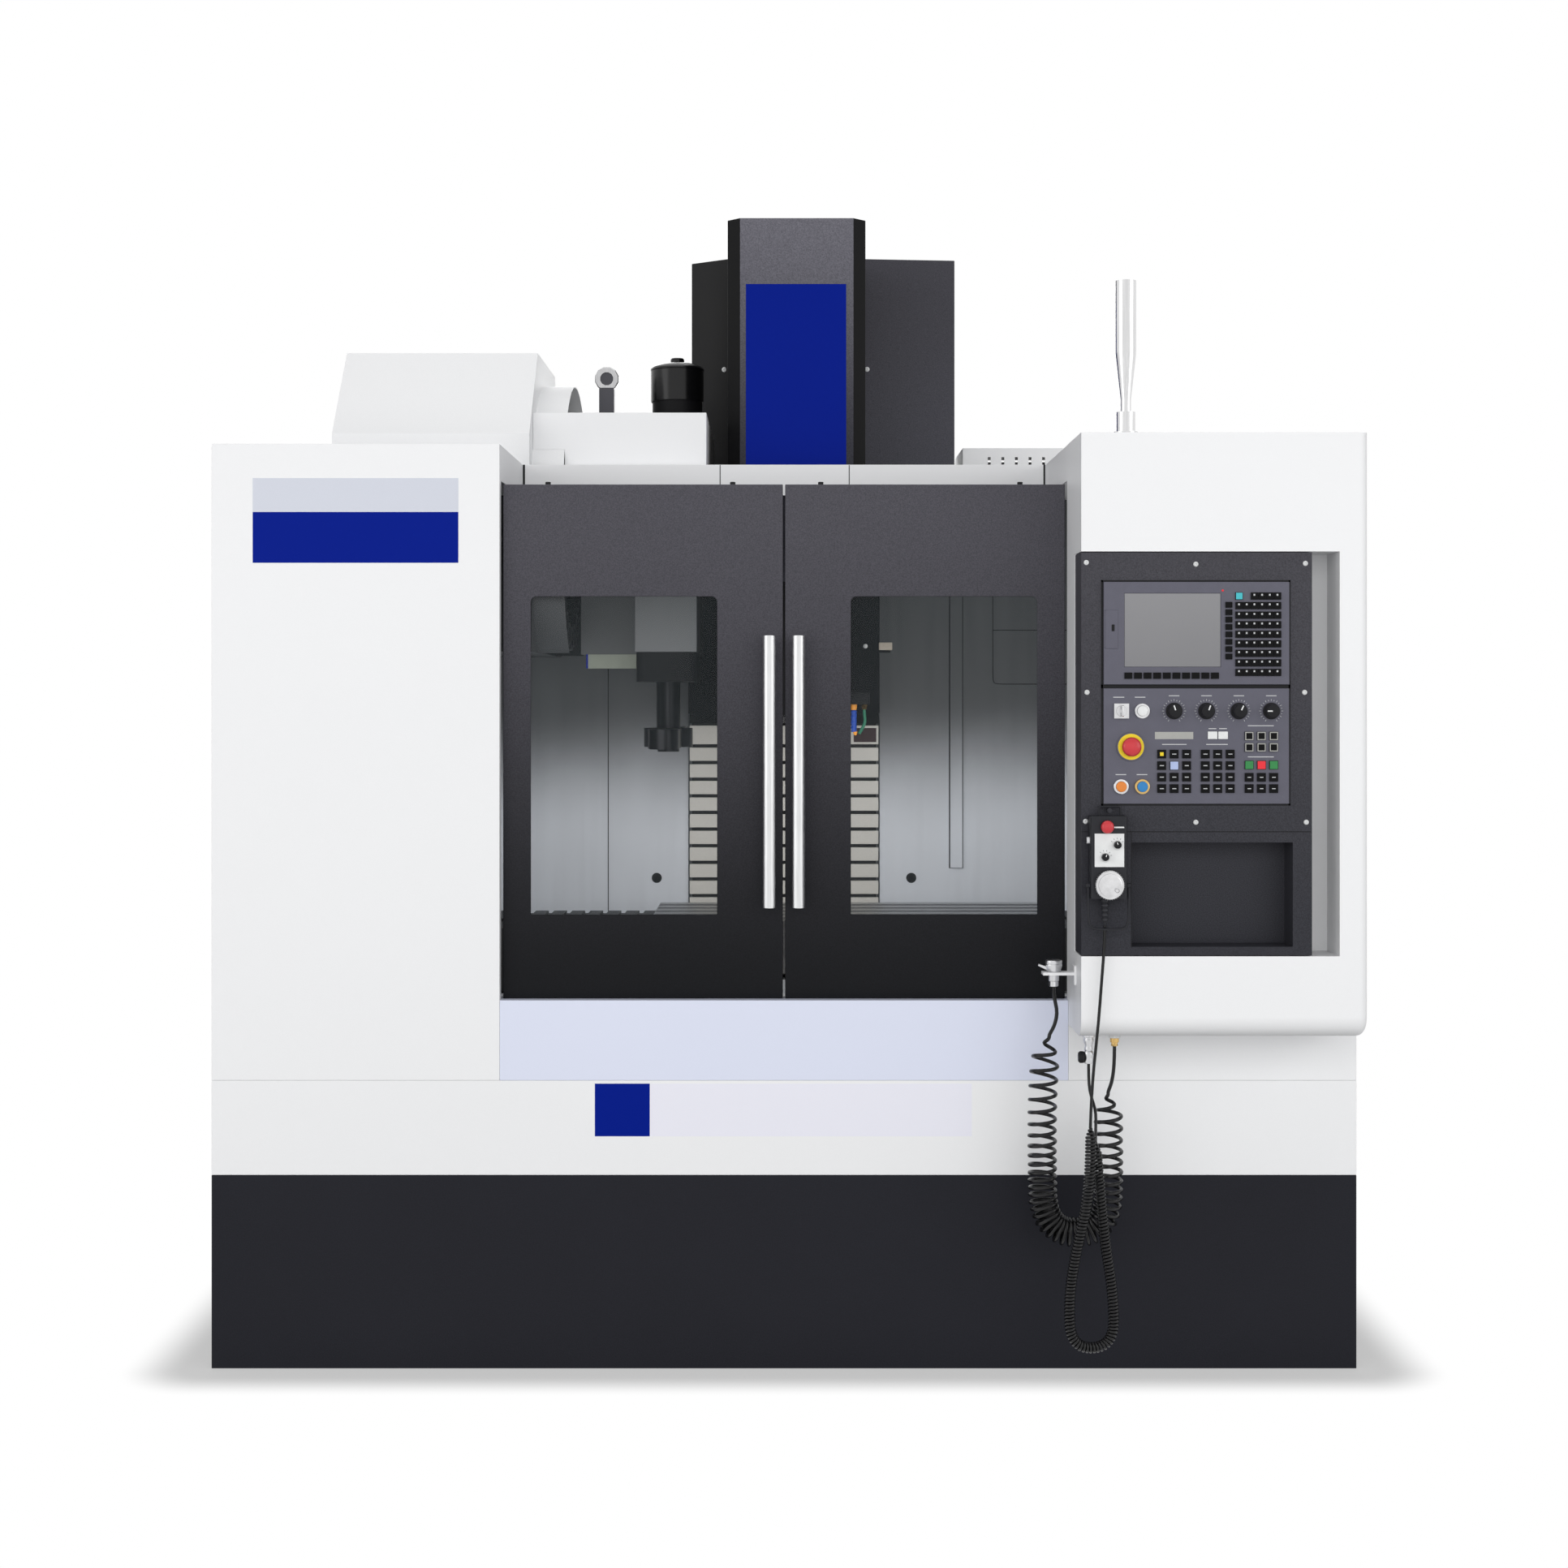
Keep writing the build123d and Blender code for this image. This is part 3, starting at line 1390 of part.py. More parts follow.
with BuildPart() as key_switch:
    rod((lock_x, ring_front - 1 + 15, dial_z), button_radius, 30, "y")
    span_box((lock_x - 1.5, lock_x + 1.5), (ring_front - 6, ring_front - 1), (dial_z - 4, dial_z + 4))
    with BuildSketch(Plane.YZ.offset(lock_x - 1.5)):
        with Locations((ring_front - 15, dial_z)):
            RectangleRounded(18, 24, 6)
    extrude(amount=3)
finish(key_switch.part, "key_switch")

# Hand pendant with its hanger loop, guard bail and strain relief
pendant_back = box_front - seam
pendant_front = pendant_back - pendant_depth
pendant_top = pendant_bottom + pendant_height
cord_exit = (667.0, -1085.0, 991.0)
bail_half = pendant_width / 2 + 4
bail_y = -1096.0
bail_top = 1075.0
with BuildPart() as pendant:
    span_box(
        (pendant_x - pendant_width / 2, pendant_x + pendant_width / 2),
        (pendant_front, pendant_back),
        (pendant_bottom, pendant_top),
    )
    fillet(pendant.edges().filter_by(Axis.Z), radius=6)
    rod((pendant_stop_x, pendant_front, pendant_stop_z), 6 + shaft_gap, 36, "y", Mode.SUBTRACT)
    rod((pendant_x, pendant_front, wheel_z), 6 + shaft_gap, 40, "y", Mode.SUBTRACT)
    for place_x, place_z in selector_places.values():
        rod((place_x, pendant_front, place_z), 3 + shaft_gap, 24, "y", Mode.SUBTRACT)
    rod((pendant_x - pendant_width / 2 - 3, -1084, 1164.6), 9, 6, "x")
    relief_x, relief_y, relief_bottom = cord_exit
    rod(
        (relief_x, relief_y, (pendant_bottom + relief_bottom) / 2),
        5.5,
        pendant_bottom - relief_bottom,
    )
    for rib in range(5):
        rod((relief_x, relief_y, pendant_bottom - 5 - rib * 10), 8.5 - rib * 0.6, 6)
    for side in (-1, 1):
        rod((pendant_x + side * (pendant_width / 2 + 2), bail_y, bail_top), 3, 8, "x")
with BuildLine() as hanger_line:
    hanger_y = box_front - 13
    FilletPolyline(
        (656, hanger_y, pendant_top - 2),
        (656, hanger_y, loop_top - wire_radius),
        (701, hanger_y, loop_top - wire_radius),
        (701, hanger_y, pendant_top - 2),
        radius=7,
    )
with BuildLine() as bail_line:
    FilletPolyline(
        (pendant_x - bail_half, bail_y, bail_top),
        (pendant_x - bail_half, bail_y, 990),
        (pendant_x + bail_half, bail_y, 982),
        (pendant_x + bail_half, bail_y, bail_top),
        radius=30,
    )
with BuildPart() as pendant_wires:
    with BuildSketch(hanger_line.line ^ 0):
        RegularPolygon(wire_radius, wire_sides)
    sweep(path=hanger_line.line)
with BuildPart() as pendant_bail:
    with BuildSketch(bail_line.line ^ 0):
        RegularPolygon(wire_radius, wire_sides)
    sweep(path=bail_line.line)
with BuildPart() as pendant_whole:
    add(pendant.part)
    add(pendant_wires.part)
    add(pendant_bail.part)
finish(pendant_whole.part, "pendant")

with BuildPart() as pendant_stop:
    cap_back = pendant_front - 5
    rod((pendant_stop_x, cap_back - 5, pendant_stop_z), pendant_stop_radius, 10, "y")
    chamfer(pendant_stop.faces().sort_by(Axis.Y)[0].edges(), length=3, length2=6)
    rod((pendant_stop_x, cap_back + 8, pendant_stop_z), 6, 16, "y")
finish(pendant_stop.part, "pendant_stop")

with BuildPart() as pendant_handwheel:
    wheel_back = pendant_front - slide_gap
    rod((pendant_x, wheel_back - 7, wheel_z), wheel_radius, 14, "y")
    rod((pendant_x, wheel_back - 10, wheel_z), wheel_radius - 7, 20, "y")
    rod((pendant_x, wheel_back + 9, wheel_z), 6, 18, "y")
    rod((pendant_x + 19, wheel_back - wheel_length / 2, wheel_z), 4, wheel_length, "y")
finish(pendant_handwheel.part, "pendant_handwheel")

for name, (place_x, place_z) in selector_places.items():
    with BuildPart() as selector:
        selector_back = pendant_front - slide_gap
        rod((place_x, selector_back - 2, place_z), selector_radius, 4, "y")
        selector_y = selector_back - selector_length / 2
        rod((place_x, selector_y, place_z), selector_radius - 2, selector_length, "y")
        rod((place_x, selector_back + 5, place_z), 3, 10, "y")
    finish(selector.part, name)

# Air gun in its hook
with BuildPart() as air_gun:
    collar_bottom = hook_z + hook_thickness + seam
    with BuildSketch(Plane.XZ.offset(-gun_y)):
        with BuildLine():
            Polyline(
                (gun_x, gun_bottom),
                (gun_x + 9, gun_bottom),
                (gun_x + 9, gun_bottom + 12),
                (gun_x + 11.5, gun_bottom + 12),
                (gun_x + 11.5, collar_bottom),
                (gun_x + 15, collar_bottom),
                (gun_x + 18, gun_top - 12),
                (gun_x + 18, gun_top),
                (gun_x, gun_top),
                close=True,
            )
        make_face()
    revolve(axis=Axis((gun_x, gun_y, 0), (0, 0, 1)))
    with BuildSketch(Plane.XZ.offset(-gun_y + 5)):
        with BuildLine():
            Polyline(
                (gun_x - 12, collar_bottom + 2),
                (gun_x - 34, collar_bottom + 13),
                (gun_x - 32, collar_bottom + 17),
                (gun_x - 12, collar_bottom + 10),
                close=True,
            )
        make_face()
    extrude(amount=-10)
finish(air_gun.part, "air_gun")

# Signal lamp on the control box
with BuildPart() as signal_lamp:
    with BuildSketch(Plane.XZ.offset(-lamp_y)):
        with BuildLine():
            Polyline(
                (lamp_x, cabinet_top),
                (lamp_x + lamp_base_radius, cabinet_top),
                (lamp_x + lamp_base_radius, cabinet_top + 12),
                (lamp_x + 20, cabinet_top + 12),
                (lamp_x + 20, cabinet_top + 54),
                (lamp_x + lamp_neck_radius, cabinet_top + 54),
                (lamp_x + lamp_neck_radius, cabinet_top + 80),
                (lamp_x + lamp_radius, cabinet_top + 180),
                (lamp_x + lamp_radius, cabinet_top + lamp_height),
                (lamp_x, cabinet_top + lamp_height),
                close=True,
            )
        make_face()
    revolve(axis=Axis((lamp_x, lamp_y, 0), (0, 0, 1)))
finish(signal_lamp.part, "signal_lamp")

# Air hose: a tail from the gun, a hanging coil that turns up again, and a tail to the fitting
hose_tail = [
    (gun_x, gun_y, gun_bottom),
    (gun_x, gun_y, 829),
    (583, -963, 796),
    (577, -969, 765),
    (551, -975, 725),
]
hose_coil = [
    (551, -975, 739),
    (548, -975, 500),
    (552, -975, 328),
    (686, -975, 328),
    (691, -975, 470),
    (689, -975, 627),
]
hose_end = [
    (689, -975, 612),
    (698, -976, 650),
    (brass_x, fitting_y, 690),
    (brass_x, fitting_y, brass_bottom),
]
with BuildPart() as air_hose:
    for label, points, radius in (
        ("hose tail", hose_tail, hose_radius),
        ("hose coil", hose_coil, hose_coil_radius),
        ("hose end", hose_end, hose_radius),
    ):
        route = cord_line(label, points)
        with BuildSketch(route ^ 0):
            RegularPolygon(radius, cord_sides)
        sweep(path=route)
finish(air_hose.part, "air_hose")

# Pendant cable: a tail down from the pendant, a narrow coil down and up again, and a tail
cable_tail = [
    cord_exit,
    (667, -1085, 962),
    (660, -1087, 876),
    (653, -1090, 788),
    (643, -1092, 700),
    (638, -1092, 630),
    (636, -1092, 560),
]
cable_coil = [
    (636, -1092, 577),
    (638, -1092, 450),
    (607, -1091, 320),
    (591, -1089, 215),
    (597, -1086, 112),
    (686, -1073, 112),
    (688, -1069, 215),
    (664, -1067, 360),
    (650, -1066, 540),
]
cable_end = [
    (650, -1066, 525),
    (651, -1064, 560),
    (656, -1050, 595),
    (652, -1016, 625),
    (plug_x, fitting_y, 652),
    (plug_x, fitting_y, plug_bottom),
]
with BuildPart() as pendant_cable:
    for label, points, radius in (
        ("cable tail", cable_tail, cable_radius),
        ("cable coil", cable_coil, cable_coil_radius),
        ("cable end", cable_end, cable_radius),
    ):
        route = cord_line(label, points)
        with BuildSketch(route ^ 0):
            RegularPolygon(radius, cord_sides)
        sweep(path=route)
finish(pendant_cable.part, "pendant_cable")

# Electrical cabinet at the right rear: an open shell with drives on a plate and hinge lugs
barrel_x = closet_right + 7
barrel_y = closet_back + 9
lug_height = 25.0
lug_places = (700.0, 1900.0)
with BuildPart() as electrical_cabinet:
    span_box((closet_left, closet_right), (closet_front, closet_back), (base_top, closet_top))
    span_box(
        (closet_left + sheet, closet_right - sheet),
        (closet_front + sheet, closet_back),
        (base_top + sheet, closet_top - sheet),
        Mode.SUBTRACT,
    )
    with BuildSketch(Plane.XZ.offset(-closet_front)):
        with Locations(((closet_left + closet_right) / 2, louvre_top - louvre_height / 2)):
            with GridLocations(louvre_pitch, 0, 15, 1):
                Rectangle(louvre_width, louvre_height)
    extrude(amount=-sheet, mode=Mode.SUBTRACT)
    span_box(
        (closet_left + 40, closet_right - 40), (closet_front + sheet, closet_front + 20), (500, 1950)
    )
    for drive in range(3):
        drive_x = closet_left + 110 + drive * 170
        span_box((drive_x, drive_x + 120), (closet_front + 20, closet_front + 150), (1300, 1700))
    for lug_z in lug_places:
        rod((barrel_x, barrel_y, lug_z + lug_height / 2), barrel_radius, lug_height)
        span_box((closet_right, barrel_x), (barrel_y - 16, barrel_y), (lug_z, lug_z + lug_height))
        rod((barrel_x, barrel_y, lug_z + lug_height + 15), barrel_pin_radius, 30)
finish(electrical_cabinet.part, "electrical_cabinet")

# Its hinged door, with two knuckles on the cabinet's pins
with BuildPart() as cabinet_door:
    door_edge = barrel_x - barrel_radius - 2
    door_span = (closet_back + seam, closet_back + closet_door_thickness)
    span_box((closet_left, door_edge), door_span, (base_top + 8, closet_top - 8))
    span_box(
        (closet_left + sheet, door_edge - sheet),
        (door_span[0], door_span[1] - sheet),
        (base_top + 8 + sheet, closet_top - 8 - sheet),
        Mode.SUBTRACT,
    )
    for lug_z in lug_places:
        knuckle = (lug_z + lug_height + slide_gap, lug_z + 2 * lug_height + 20)
        span_box((door_edge, barrel_x), (barrel_y, closet_back + closet_door_thickness), knuckle)
        rod((barrel_x, barrel_y, sum(knuckle) / 2), barrel_radius, knuckle[1] - knuckle[0])
        rod(
            (barrel_x, barrel_y, sum(knuckle) / 2),
            barrel_pin_radius + shaft_gap,
            knuckle[1] - knuckle[0],
            "z",
            Mode.SUBTRACT,
        )
    span_box((closet_left + 30, closet_left + 60), (door_span[1], door_span[1] + 20), (1250, 1400))
finish(cabinet_door.part, "cabinet_door")
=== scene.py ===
"""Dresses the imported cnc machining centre: finishes, panel details, controls, cords and studio light."""

from __future__ import annotations

import logging
import math
import random
from dataclasses import dataclass
from enum import Enum
from typing import Iterable, Sequence

import bmesh
import bpy
from mathutils import Matrix, Vector


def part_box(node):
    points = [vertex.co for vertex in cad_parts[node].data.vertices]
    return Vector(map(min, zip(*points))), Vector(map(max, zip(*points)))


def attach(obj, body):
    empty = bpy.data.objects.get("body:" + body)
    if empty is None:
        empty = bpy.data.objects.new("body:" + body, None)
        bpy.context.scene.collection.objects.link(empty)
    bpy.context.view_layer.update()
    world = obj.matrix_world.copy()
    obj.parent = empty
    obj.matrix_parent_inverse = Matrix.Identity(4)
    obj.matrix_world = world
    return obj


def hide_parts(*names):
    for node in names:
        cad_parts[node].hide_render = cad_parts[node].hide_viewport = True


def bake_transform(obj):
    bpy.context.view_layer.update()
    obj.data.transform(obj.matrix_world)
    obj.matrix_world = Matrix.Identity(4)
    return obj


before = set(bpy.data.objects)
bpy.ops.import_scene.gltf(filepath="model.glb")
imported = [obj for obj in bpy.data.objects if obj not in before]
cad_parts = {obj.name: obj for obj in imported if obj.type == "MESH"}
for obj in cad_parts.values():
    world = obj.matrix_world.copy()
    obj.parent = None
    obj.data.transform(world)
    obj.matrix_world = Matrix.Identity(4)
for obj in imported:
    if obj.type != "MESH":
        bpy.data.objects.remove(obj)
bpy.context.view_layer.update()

LOG = logging.getLogger("machining_centre")
MM = 0.001
SMOOTH_BELOW = math.radians(47)
SHARP_ABOVE = math.radians(40)
FLAT_BELOW = math.radians(0.5)
FORWARD = (0, -1, 0)
BACKWARD = (0, 1, 0)
UP = (0, 0, 1)
DOWN = (0, 0, -1)

Point = Sequence[float]
Pair = tuple[float, float]
Triple = tuple[float, float, float]
Colour = tuple[float, float, float]
Stops = Sequence[tuple[float, Colour]]

SHEET_WHITE: Colour = (0.85, 0.855, 0.865)
DEEP_BLACK: Colour = (0.004, 0.004, 0.0045)


class Slot(Enum):
    """The record's material slots."""

    SKIRT = "black_paint"
    WHITE = "light_grey_paint"
    CHARCOAL = "dark_grey_paint"
    FILM = "pale_film"
    GLASS = "window_glass"
    CHROME = "chromed_steel"
    SATIN = "satin_aluminium"
    STEEL = "ground_steel"
    SLATS = "steel_cover"
    BELLOWS = "black_cover"
    BLACK = "black_plastic"
    PENDANT = "dark_plastic"
    KEYS = "key_film"
    RED = "red_plastic"
    ORANGE = "orange_plastic"
    BLUE = "blue_plastic"
    SILVER = "silver_plastic"
    HOSE = "black_hose"
    HEAD = "black_casting"
    MOTOR = "black_motor"
    CASTING = "grey_casting"


class Signal:
    """A shader socket that Python's arithmetic works on."""

    def __init__(self, graph: Graph, socket: bpy.types.NodeSocket) -> None:
        """Wraps an output socket of a graph."""
        self.graph = graph
        self.socket = socket

    def maths(self, operation: str, *values: Signal | float) -> Signal:
        """Returns: the result of a Math node that takes these values."""
        settings = {"operation": operation}
        return self.graph.signal("ShaderNodeMath", 0, settings, dict(enumerate(values)))

    def __add__(self, other: Signal | float) -> Signal:
        """Returns: the sum."""
        return self.maths("ADD", self, other)

    __radd__ = __add__

    def __sub__(self, other: Signal | float) -> Signal:
        """Returns: the difference."""
        return self.maths("SUBTRACT", self, other)

    def __rsub__(self, other: float) -> Signal:
        """Returns: the difference from a number."""
        return self.maths("SUBTRACT", other, self)

    def __mul__(self, other: Signal | float) -> Signal:
        """Returns: the product."""
        return self.maths("MULTIPLY", self, other)

    __rmul__ = __mul__

    def __truediv__(self, other: Signal | float) -> Signal:
        """Returns: the quotient."""
        return self.maths("DIVIDE", self, other)

    def __rtruediv__(self, other: float) -> Signal:
        """Returns: a number over the signal."""
        return self.maths("DIVIDE", other, self)

    def step(self, low: float, high: float) -> Signal:
        """A soft step.

        Args:
            low: where it leaves 0.
            high: where it reaches 1.

        Returns:
            The step's value.
        """
        settings = {"interpolation_type": "SMOOTHSTEP"}
        inputs = {"Value": self, "From Min": low, "From Max": high}
        return self.graph.signal("ShaderNodeMapRange", 0, settings, inputs)


class Graph:
    """A node tree that nodes are added to by one method."""

    def __init__(self, tree: bpy.types.NodeTree) -> None:
        """Takes the node tree of a material or a world and empties it."""
        self.tree = tree
        self.tree.nodes.clear()

    def node(self, kind: str, settings: dict | None = None, inputs: dict | None = None) -> bpy.types.Node:
        """Adds a node.

        Args:
            kind: the node's type.
            settings: its own settings; "stops" holds a colour ramp's stops.
            inputs: values or signals for its sockets, by name or number.

        Returns:
            The node.
        """
        made = self.tree.nodes.new(kind)
        for key, value in (settings or {}).items():
            if key == "stops":
                for _ in range(len(value) - len(made.color_ramp.elements)):
                    made.color_ramp.elements.new(1.0)
                for element, (place, colour) in zip(made.color_ramp.elements, value):
                    element.position = place
                    element.color = (*colour, 1.0)
            else:
                setattr(made, key, value)
        for key, value in (inputs or {}).items():
            if isinstance(value, Signal):
                self.tree.links.new(value.socket, made.inputs[key])
            else:
                made.inputs[key].default_value = value
        return made

    def signal(
        self, kind: str, output: int | str, settings: dict | None = None, inputs: dict | None = None
    ) -> Signal:
        """Returns: one output of a new node, by its name or number."""
        return Signal(self, self.node(kind, settings, inputs).outputs[output])

    def place(self, stretch: Point = (1, 1, 1)) -> Signal:
        """Returns: the point on the piece in its own coordinates, stretched along each axis."""
        point = self.signal("ShaderNodeTexCoord", "Object")
        return self.signal("ShaderNodeMapping", 0, {}, {"Vector": point, "Scale": tuple(stretch)})

    def axis(self, letter: str) -> Signal:
        """Returns: one coordinate of the point on the piece, in metres."""
        return self.signal("ShaderNodeSeparateXYZ", letter, {}, {0: self.place()})

    def noise(self, scale: float, detail: float = 3.0, stretch: Point = (1, 1, 1)) -> Signal:
        """Returns: noise over the piece, from 0 to 1, with as many finer layers as its detail."""
        inputs = {"Vector": self.place(stretch), "Scale": scale, "Detail": detail}
        return self.signal("ShaderNodeTexNoise", "Fac", {}, inputs)

    def ramp(self, mask: Signal, stops: Stops) -> Signal:
        """Returns: the colour that a mask picks between the stops."""
        return self.signal("ShaderNodeValToRGB", 0, {"stops": stops}, {"Fac": mask})

    def blend(self, mask: Signal, low: Signal, high: Signal) -> Signal:
        """Returns: the low colour where the mask is 0 and the high one where it is 1."""
        return self.signal("ShaderNodeMix", 2, {"data_type": "RGBA"}, {0: mask, 6: low, 7: high})


class Surface(Graph):
    """The node tree of a material with one Principled shader."""

    def __init__(self, name: str) -> None:
        """Starts the material.

        Args:
            name: the material's name.
        """
        self.material = bpy.data.materials.new(name)
        self.material.use_nodes = True
        super().__init__(self.material.node_tree)
        self.shader = self.node("ShaderNodeBsdfPrincipled")
        self.output = self.node("ShaderNodeOutputMaterial", {}, {0: Signal(self, self.shader.outputs[0])})

    def wire(self, socket: str, value: Signal | float | Colour) -> None:
        """Sets or links one of the shader's sockets.

        Args:
            socket: the socket's name.
            value: a signal, a number or a colour.
        """
        if isinstance(value, Signal):
            self.tree.links.new(value.socket, self.shader.inputs[socket])
        else:
            self.shader.inputs[socket].default_value = (*value, 1.0) if isinstance(value, tuple) else value

    def dull(self, mask: Signal, middle: float, spread: float = 0.12) -> None:
        """Varies the roughness round its middle, over a spread, by a mask from 0 to 1."""
        self.wire("Roughness", mask * spread + (middle - spread / 2))

    def relief(self, height: Signal, depth: float) -> None:
        """Bumps the surface by a height from 0 to 1 and a depth in metres."""
        self.wire("Normal", self.signal("ShaderNodeBump", 0, {}, {"Height": height, "Distance": depth}))


def toned(colour: Colour, low: float, high: float) -> Stops:
    """Makes the stops of a mottled colour.

    Args:
        colour: the middle colour.
        low: the factor of its dark patches.
        high: the factor of its light patches.

    Returns:
        Two stops.
    """
    factors = ((0.3, low), (0.7, high))
    return [(place, tuple(min(1.0, c * factor) for c in colour)) for place, factor in factors]


@dataclass(frozen=True)
class PowderCoat:
    """Powder-coated sheet: an orange-peel skin with a fine mottle and broad handling marks."""

    name: str
    colour: Colour
    roughness: float = 0.42
    peel: float = 700.0
    depth: float = 0.0001
    mottle: float = 0.02
    sheen: float = 0.5

    def build(self) -> bpy.types.Material:
        """Returns: the material."""
        surface = Surface(self.name)
        fine = surface.noise(self.peel, 2.0)
        tone = surface.noise(3.0, 4.0) * 0.3 + fine * 0.7
        surface.wire("Base Color", surface.ramp(tone, toned(self.colour, 1 - self.mottle, 1 + self.mottle)))
        surface.dull(fine, self.roughness)
        surface.wire("Specular IOR Level", self.sheen)
        surface.relief(surface.noise(self.peel * 0.6, 2.0), self.depth)
        return surface.material


@dataclass(frozen=True)
class TwoToneShadedCoat:
    """Textured powder coat: one tone below and another above, and black beyond two places across as painted
    shade on side faces turned from the light.
    """

    name: str
    low: Colour
    high: Colour
    bottom: float
    top: float
    roughness: float = 0.5
    sheen: float = 0.25
    mottle: float = 0.25
    cloud: float = 0.12
    shaded_left: float = -9.0
    shaded_right: float = 9.0
    edge: float = 0.0005

    def build(self) -> bpy.types.Material:
        """Returns: the material."""
        surface = Surface(self.name)
        grain = surface.noise(420.0, 2.0)
        drift = surface.noise(1.5, 4.0) * self.cloud - self.cloud / 2
        # The step from the low tone to the high one paints sheen on the doors and the console and shade on
        # the magazine cover; on the hood and the shroud it changes the tone with height.
        rise = (surface.axis("Z") + drift).step(self.bottom, self.top)
        low = surface.ramp(grain, toned(self.low, 1 - self.mottle, 1 + self.mottle))
        high = surface.ramp(grain, toned(self.high, 1 - self.mottle, 1 + self.mottle))
        # Black beyond the two places across is painted shade on side faces turned from the light.
        across = surface.axis("X")
        left = 1 - across.step(self.shaded_left - self.edge, self.shaded_left)
        right = across.step(self.shaded_right, self.shaded_right + self.edge)
        aside = left.maths("MAXIMUM", left, right)
        face = surface.blend(rise, low, high)
        dark = surface.ramp(grain, toned(DEEP_BLACK, 0.9, 1.1))
        surface.wire("Base Color", surface.blend(aside, face, dark))
        surface.dull(grain, self.roughness)
        surface.wire("Specular IOR Level", self.sheen)
        surface.relief(grain, 0.0003)
        return surface.material


@dataclass(frozen=True)
class LinerSheet:
    """The work area's satin sheet, pale below and darkened high up by painted shade under the roof."""

    name: str
    sheet_tone: Colour
    shaded_tone: Colour
    shade_start: float
    shade_full: float
    roughness: float = 0.36

    def build(self) -> bpy.types.Material:
        """Returns: the material."""
        surface = Surface(self.name)
        cloud = surface.noise(2.2, 5.0)
        # Darker above the lower line: painted shade high in the work area, with a cloudy edge.
        rise = (surface.axis("Z") + cloud * 0.16).step(self.shade_start, self.shade_full)
        streaks = surface.noise(30.0, 3.0, (1, 1, 0.06))
        sheet_tone = surface.ramp(streaks, toned(self.sheet_tone, 0.97, 1.03))
        shaded_tone = surface.ramp(streaks, toned(self.shaded_tone, 0.9, 1.1))
        surface.wire("Base Color", surface.blend(rise, sheet_tone, shaded_tone))
        surface.dull(streaks, self.roughness)
        return surface.material


@dataclass(frozen=True)
class WorkedMetal:
    """Ground, brushed, turned or polished metal with its marks along one axis."""

    name: str
    colour: Colour
    roughness: float = 0.3
    lay: Triple = (1.0, 1.0, 1.0)
    scale: float = 250.0
    depth: float = 0.00003
    streak: float = 0.14

    def build(self) -> bpy.types.Material:
        """Returns: the material."""
        surface = Surface(self.name)
        marks = surface.noise(self.scale, 4.0, self.lay)
        tone = marks * 0.8 + surface.noise(9.0) * 0.2
        surface.wire("Base Color", surface.ramp(tone, toned(self.colour, 1 - self.streak, 1.1)))
        surface.dull(marks, self.roughness, 0.16)
        surface.wire("Metallic", 1.0)
        surface.relief(marks, self.depth)
        return surface.material


@dataclass(frozen=True)
class Casting:
    """A painted casting: sand texture under thick enamel, worn paler on high grains."""

    name: str
    colour: Colour
    roughness: float = 0.55
    depth: float = 0.00022
    sheen: float = 0.25

    def build(self) -> bpy.types.Material:
        """Returns: the material."""
        surface = Surface(self.name)
        sand = surface.noise(160.0, 5.0)
        tone = sand * 0.4 + surface.noise(5.0, 4.0) * 0.6
        surface.wire("Base Color", surface.ramp(tone, toned(self.colour, 0.85, 1.15)))
        surface.dull(sand, self.roughness, 0.2)
        surface.wire("Specular IOR Level", self.sheen)
        surface.relief(sand, self.depth)
        return surface.material


@dataclass(frozen=True)
class Moulding:
    """Moulded plastic or rubber with a fine spark-eroded grain."""

    name: str
    colour: Colour
    roughness: float = 0.4
    grain: float = 1500.0
    depth: float = 0.00004
    coat: float = 0.0
    glow: float = 0.0
    sheen: float = 0.5

    def build(self) -> bpy.types.Material:
        """Returns: the material."""
        surface = Surface(self.name)
        grain = surface.noise(self.grain, 2.0)
        tone = surface.noise(40.0, 2.0) * 0.5 + grain * 0.5
        surface.wire("Base Color", surface.ramp(tone, toned(self.colour, 0.92, 1.08)))
        surface.dull(grain, self.roughness)
        surface.wire("Coat Weight", self.coat)
        surface.wire("Specular IOR Level", self.sheen)
        surface.wire("Emission Color", self.colour)
        surface.wire("Emission Strength", self.glow)
        surface.relief(grain, self.depth)
        return surface.material


@dataclass(frozen=True)
class Pane:
    """Tinted safety glass with a faint oily film, seen through in straight lines."""

    name: str
    colour: Colour
    alpha: float

    def build(self) -> bpy.types.Material:
        """Returns: the material."""
        surface = Surface(self.name)
        film = surface.noise(2.5)
        surface.wire("Base Color", surface.ramp(film, toned(self.colour, 0.9, 1.1)))
        surface.dull(film, 0.04, 0.04)
        surface.wire("Alpha", film * 0.04 + (self.alpha - 0.02))
        return surface.material


@dataclass(frozen=True)
class DarkScreen:
    """A switched-off display behind a matt film, paler towards its top."""

    name: str
    low: Colour
    high: Colour
    bottom: float
    top: float

    def build(self) -> bpy.types.Material:
        """Returns: the material."""
        surface = Surface(self.name)
        cloud = surface.noise(9.0, 2.0)
        rise = (surface.axis("Z") - self.bottom) / (self.top - self.bottom)
        stops = [(0.1, self.low), (0.9, self.high)]
        surface.wire("Base Color", surface.ramp(rise * 0.8 + cloud * 0.2, stops))
        surface.dull(cloud, 0.33, 0.1)
        return surface.material


Finish = PowderCoat | TwoToneShadedCoat | LinerSheet | WorkedMetal | Casting | Moulding | Pane | DarkScreen

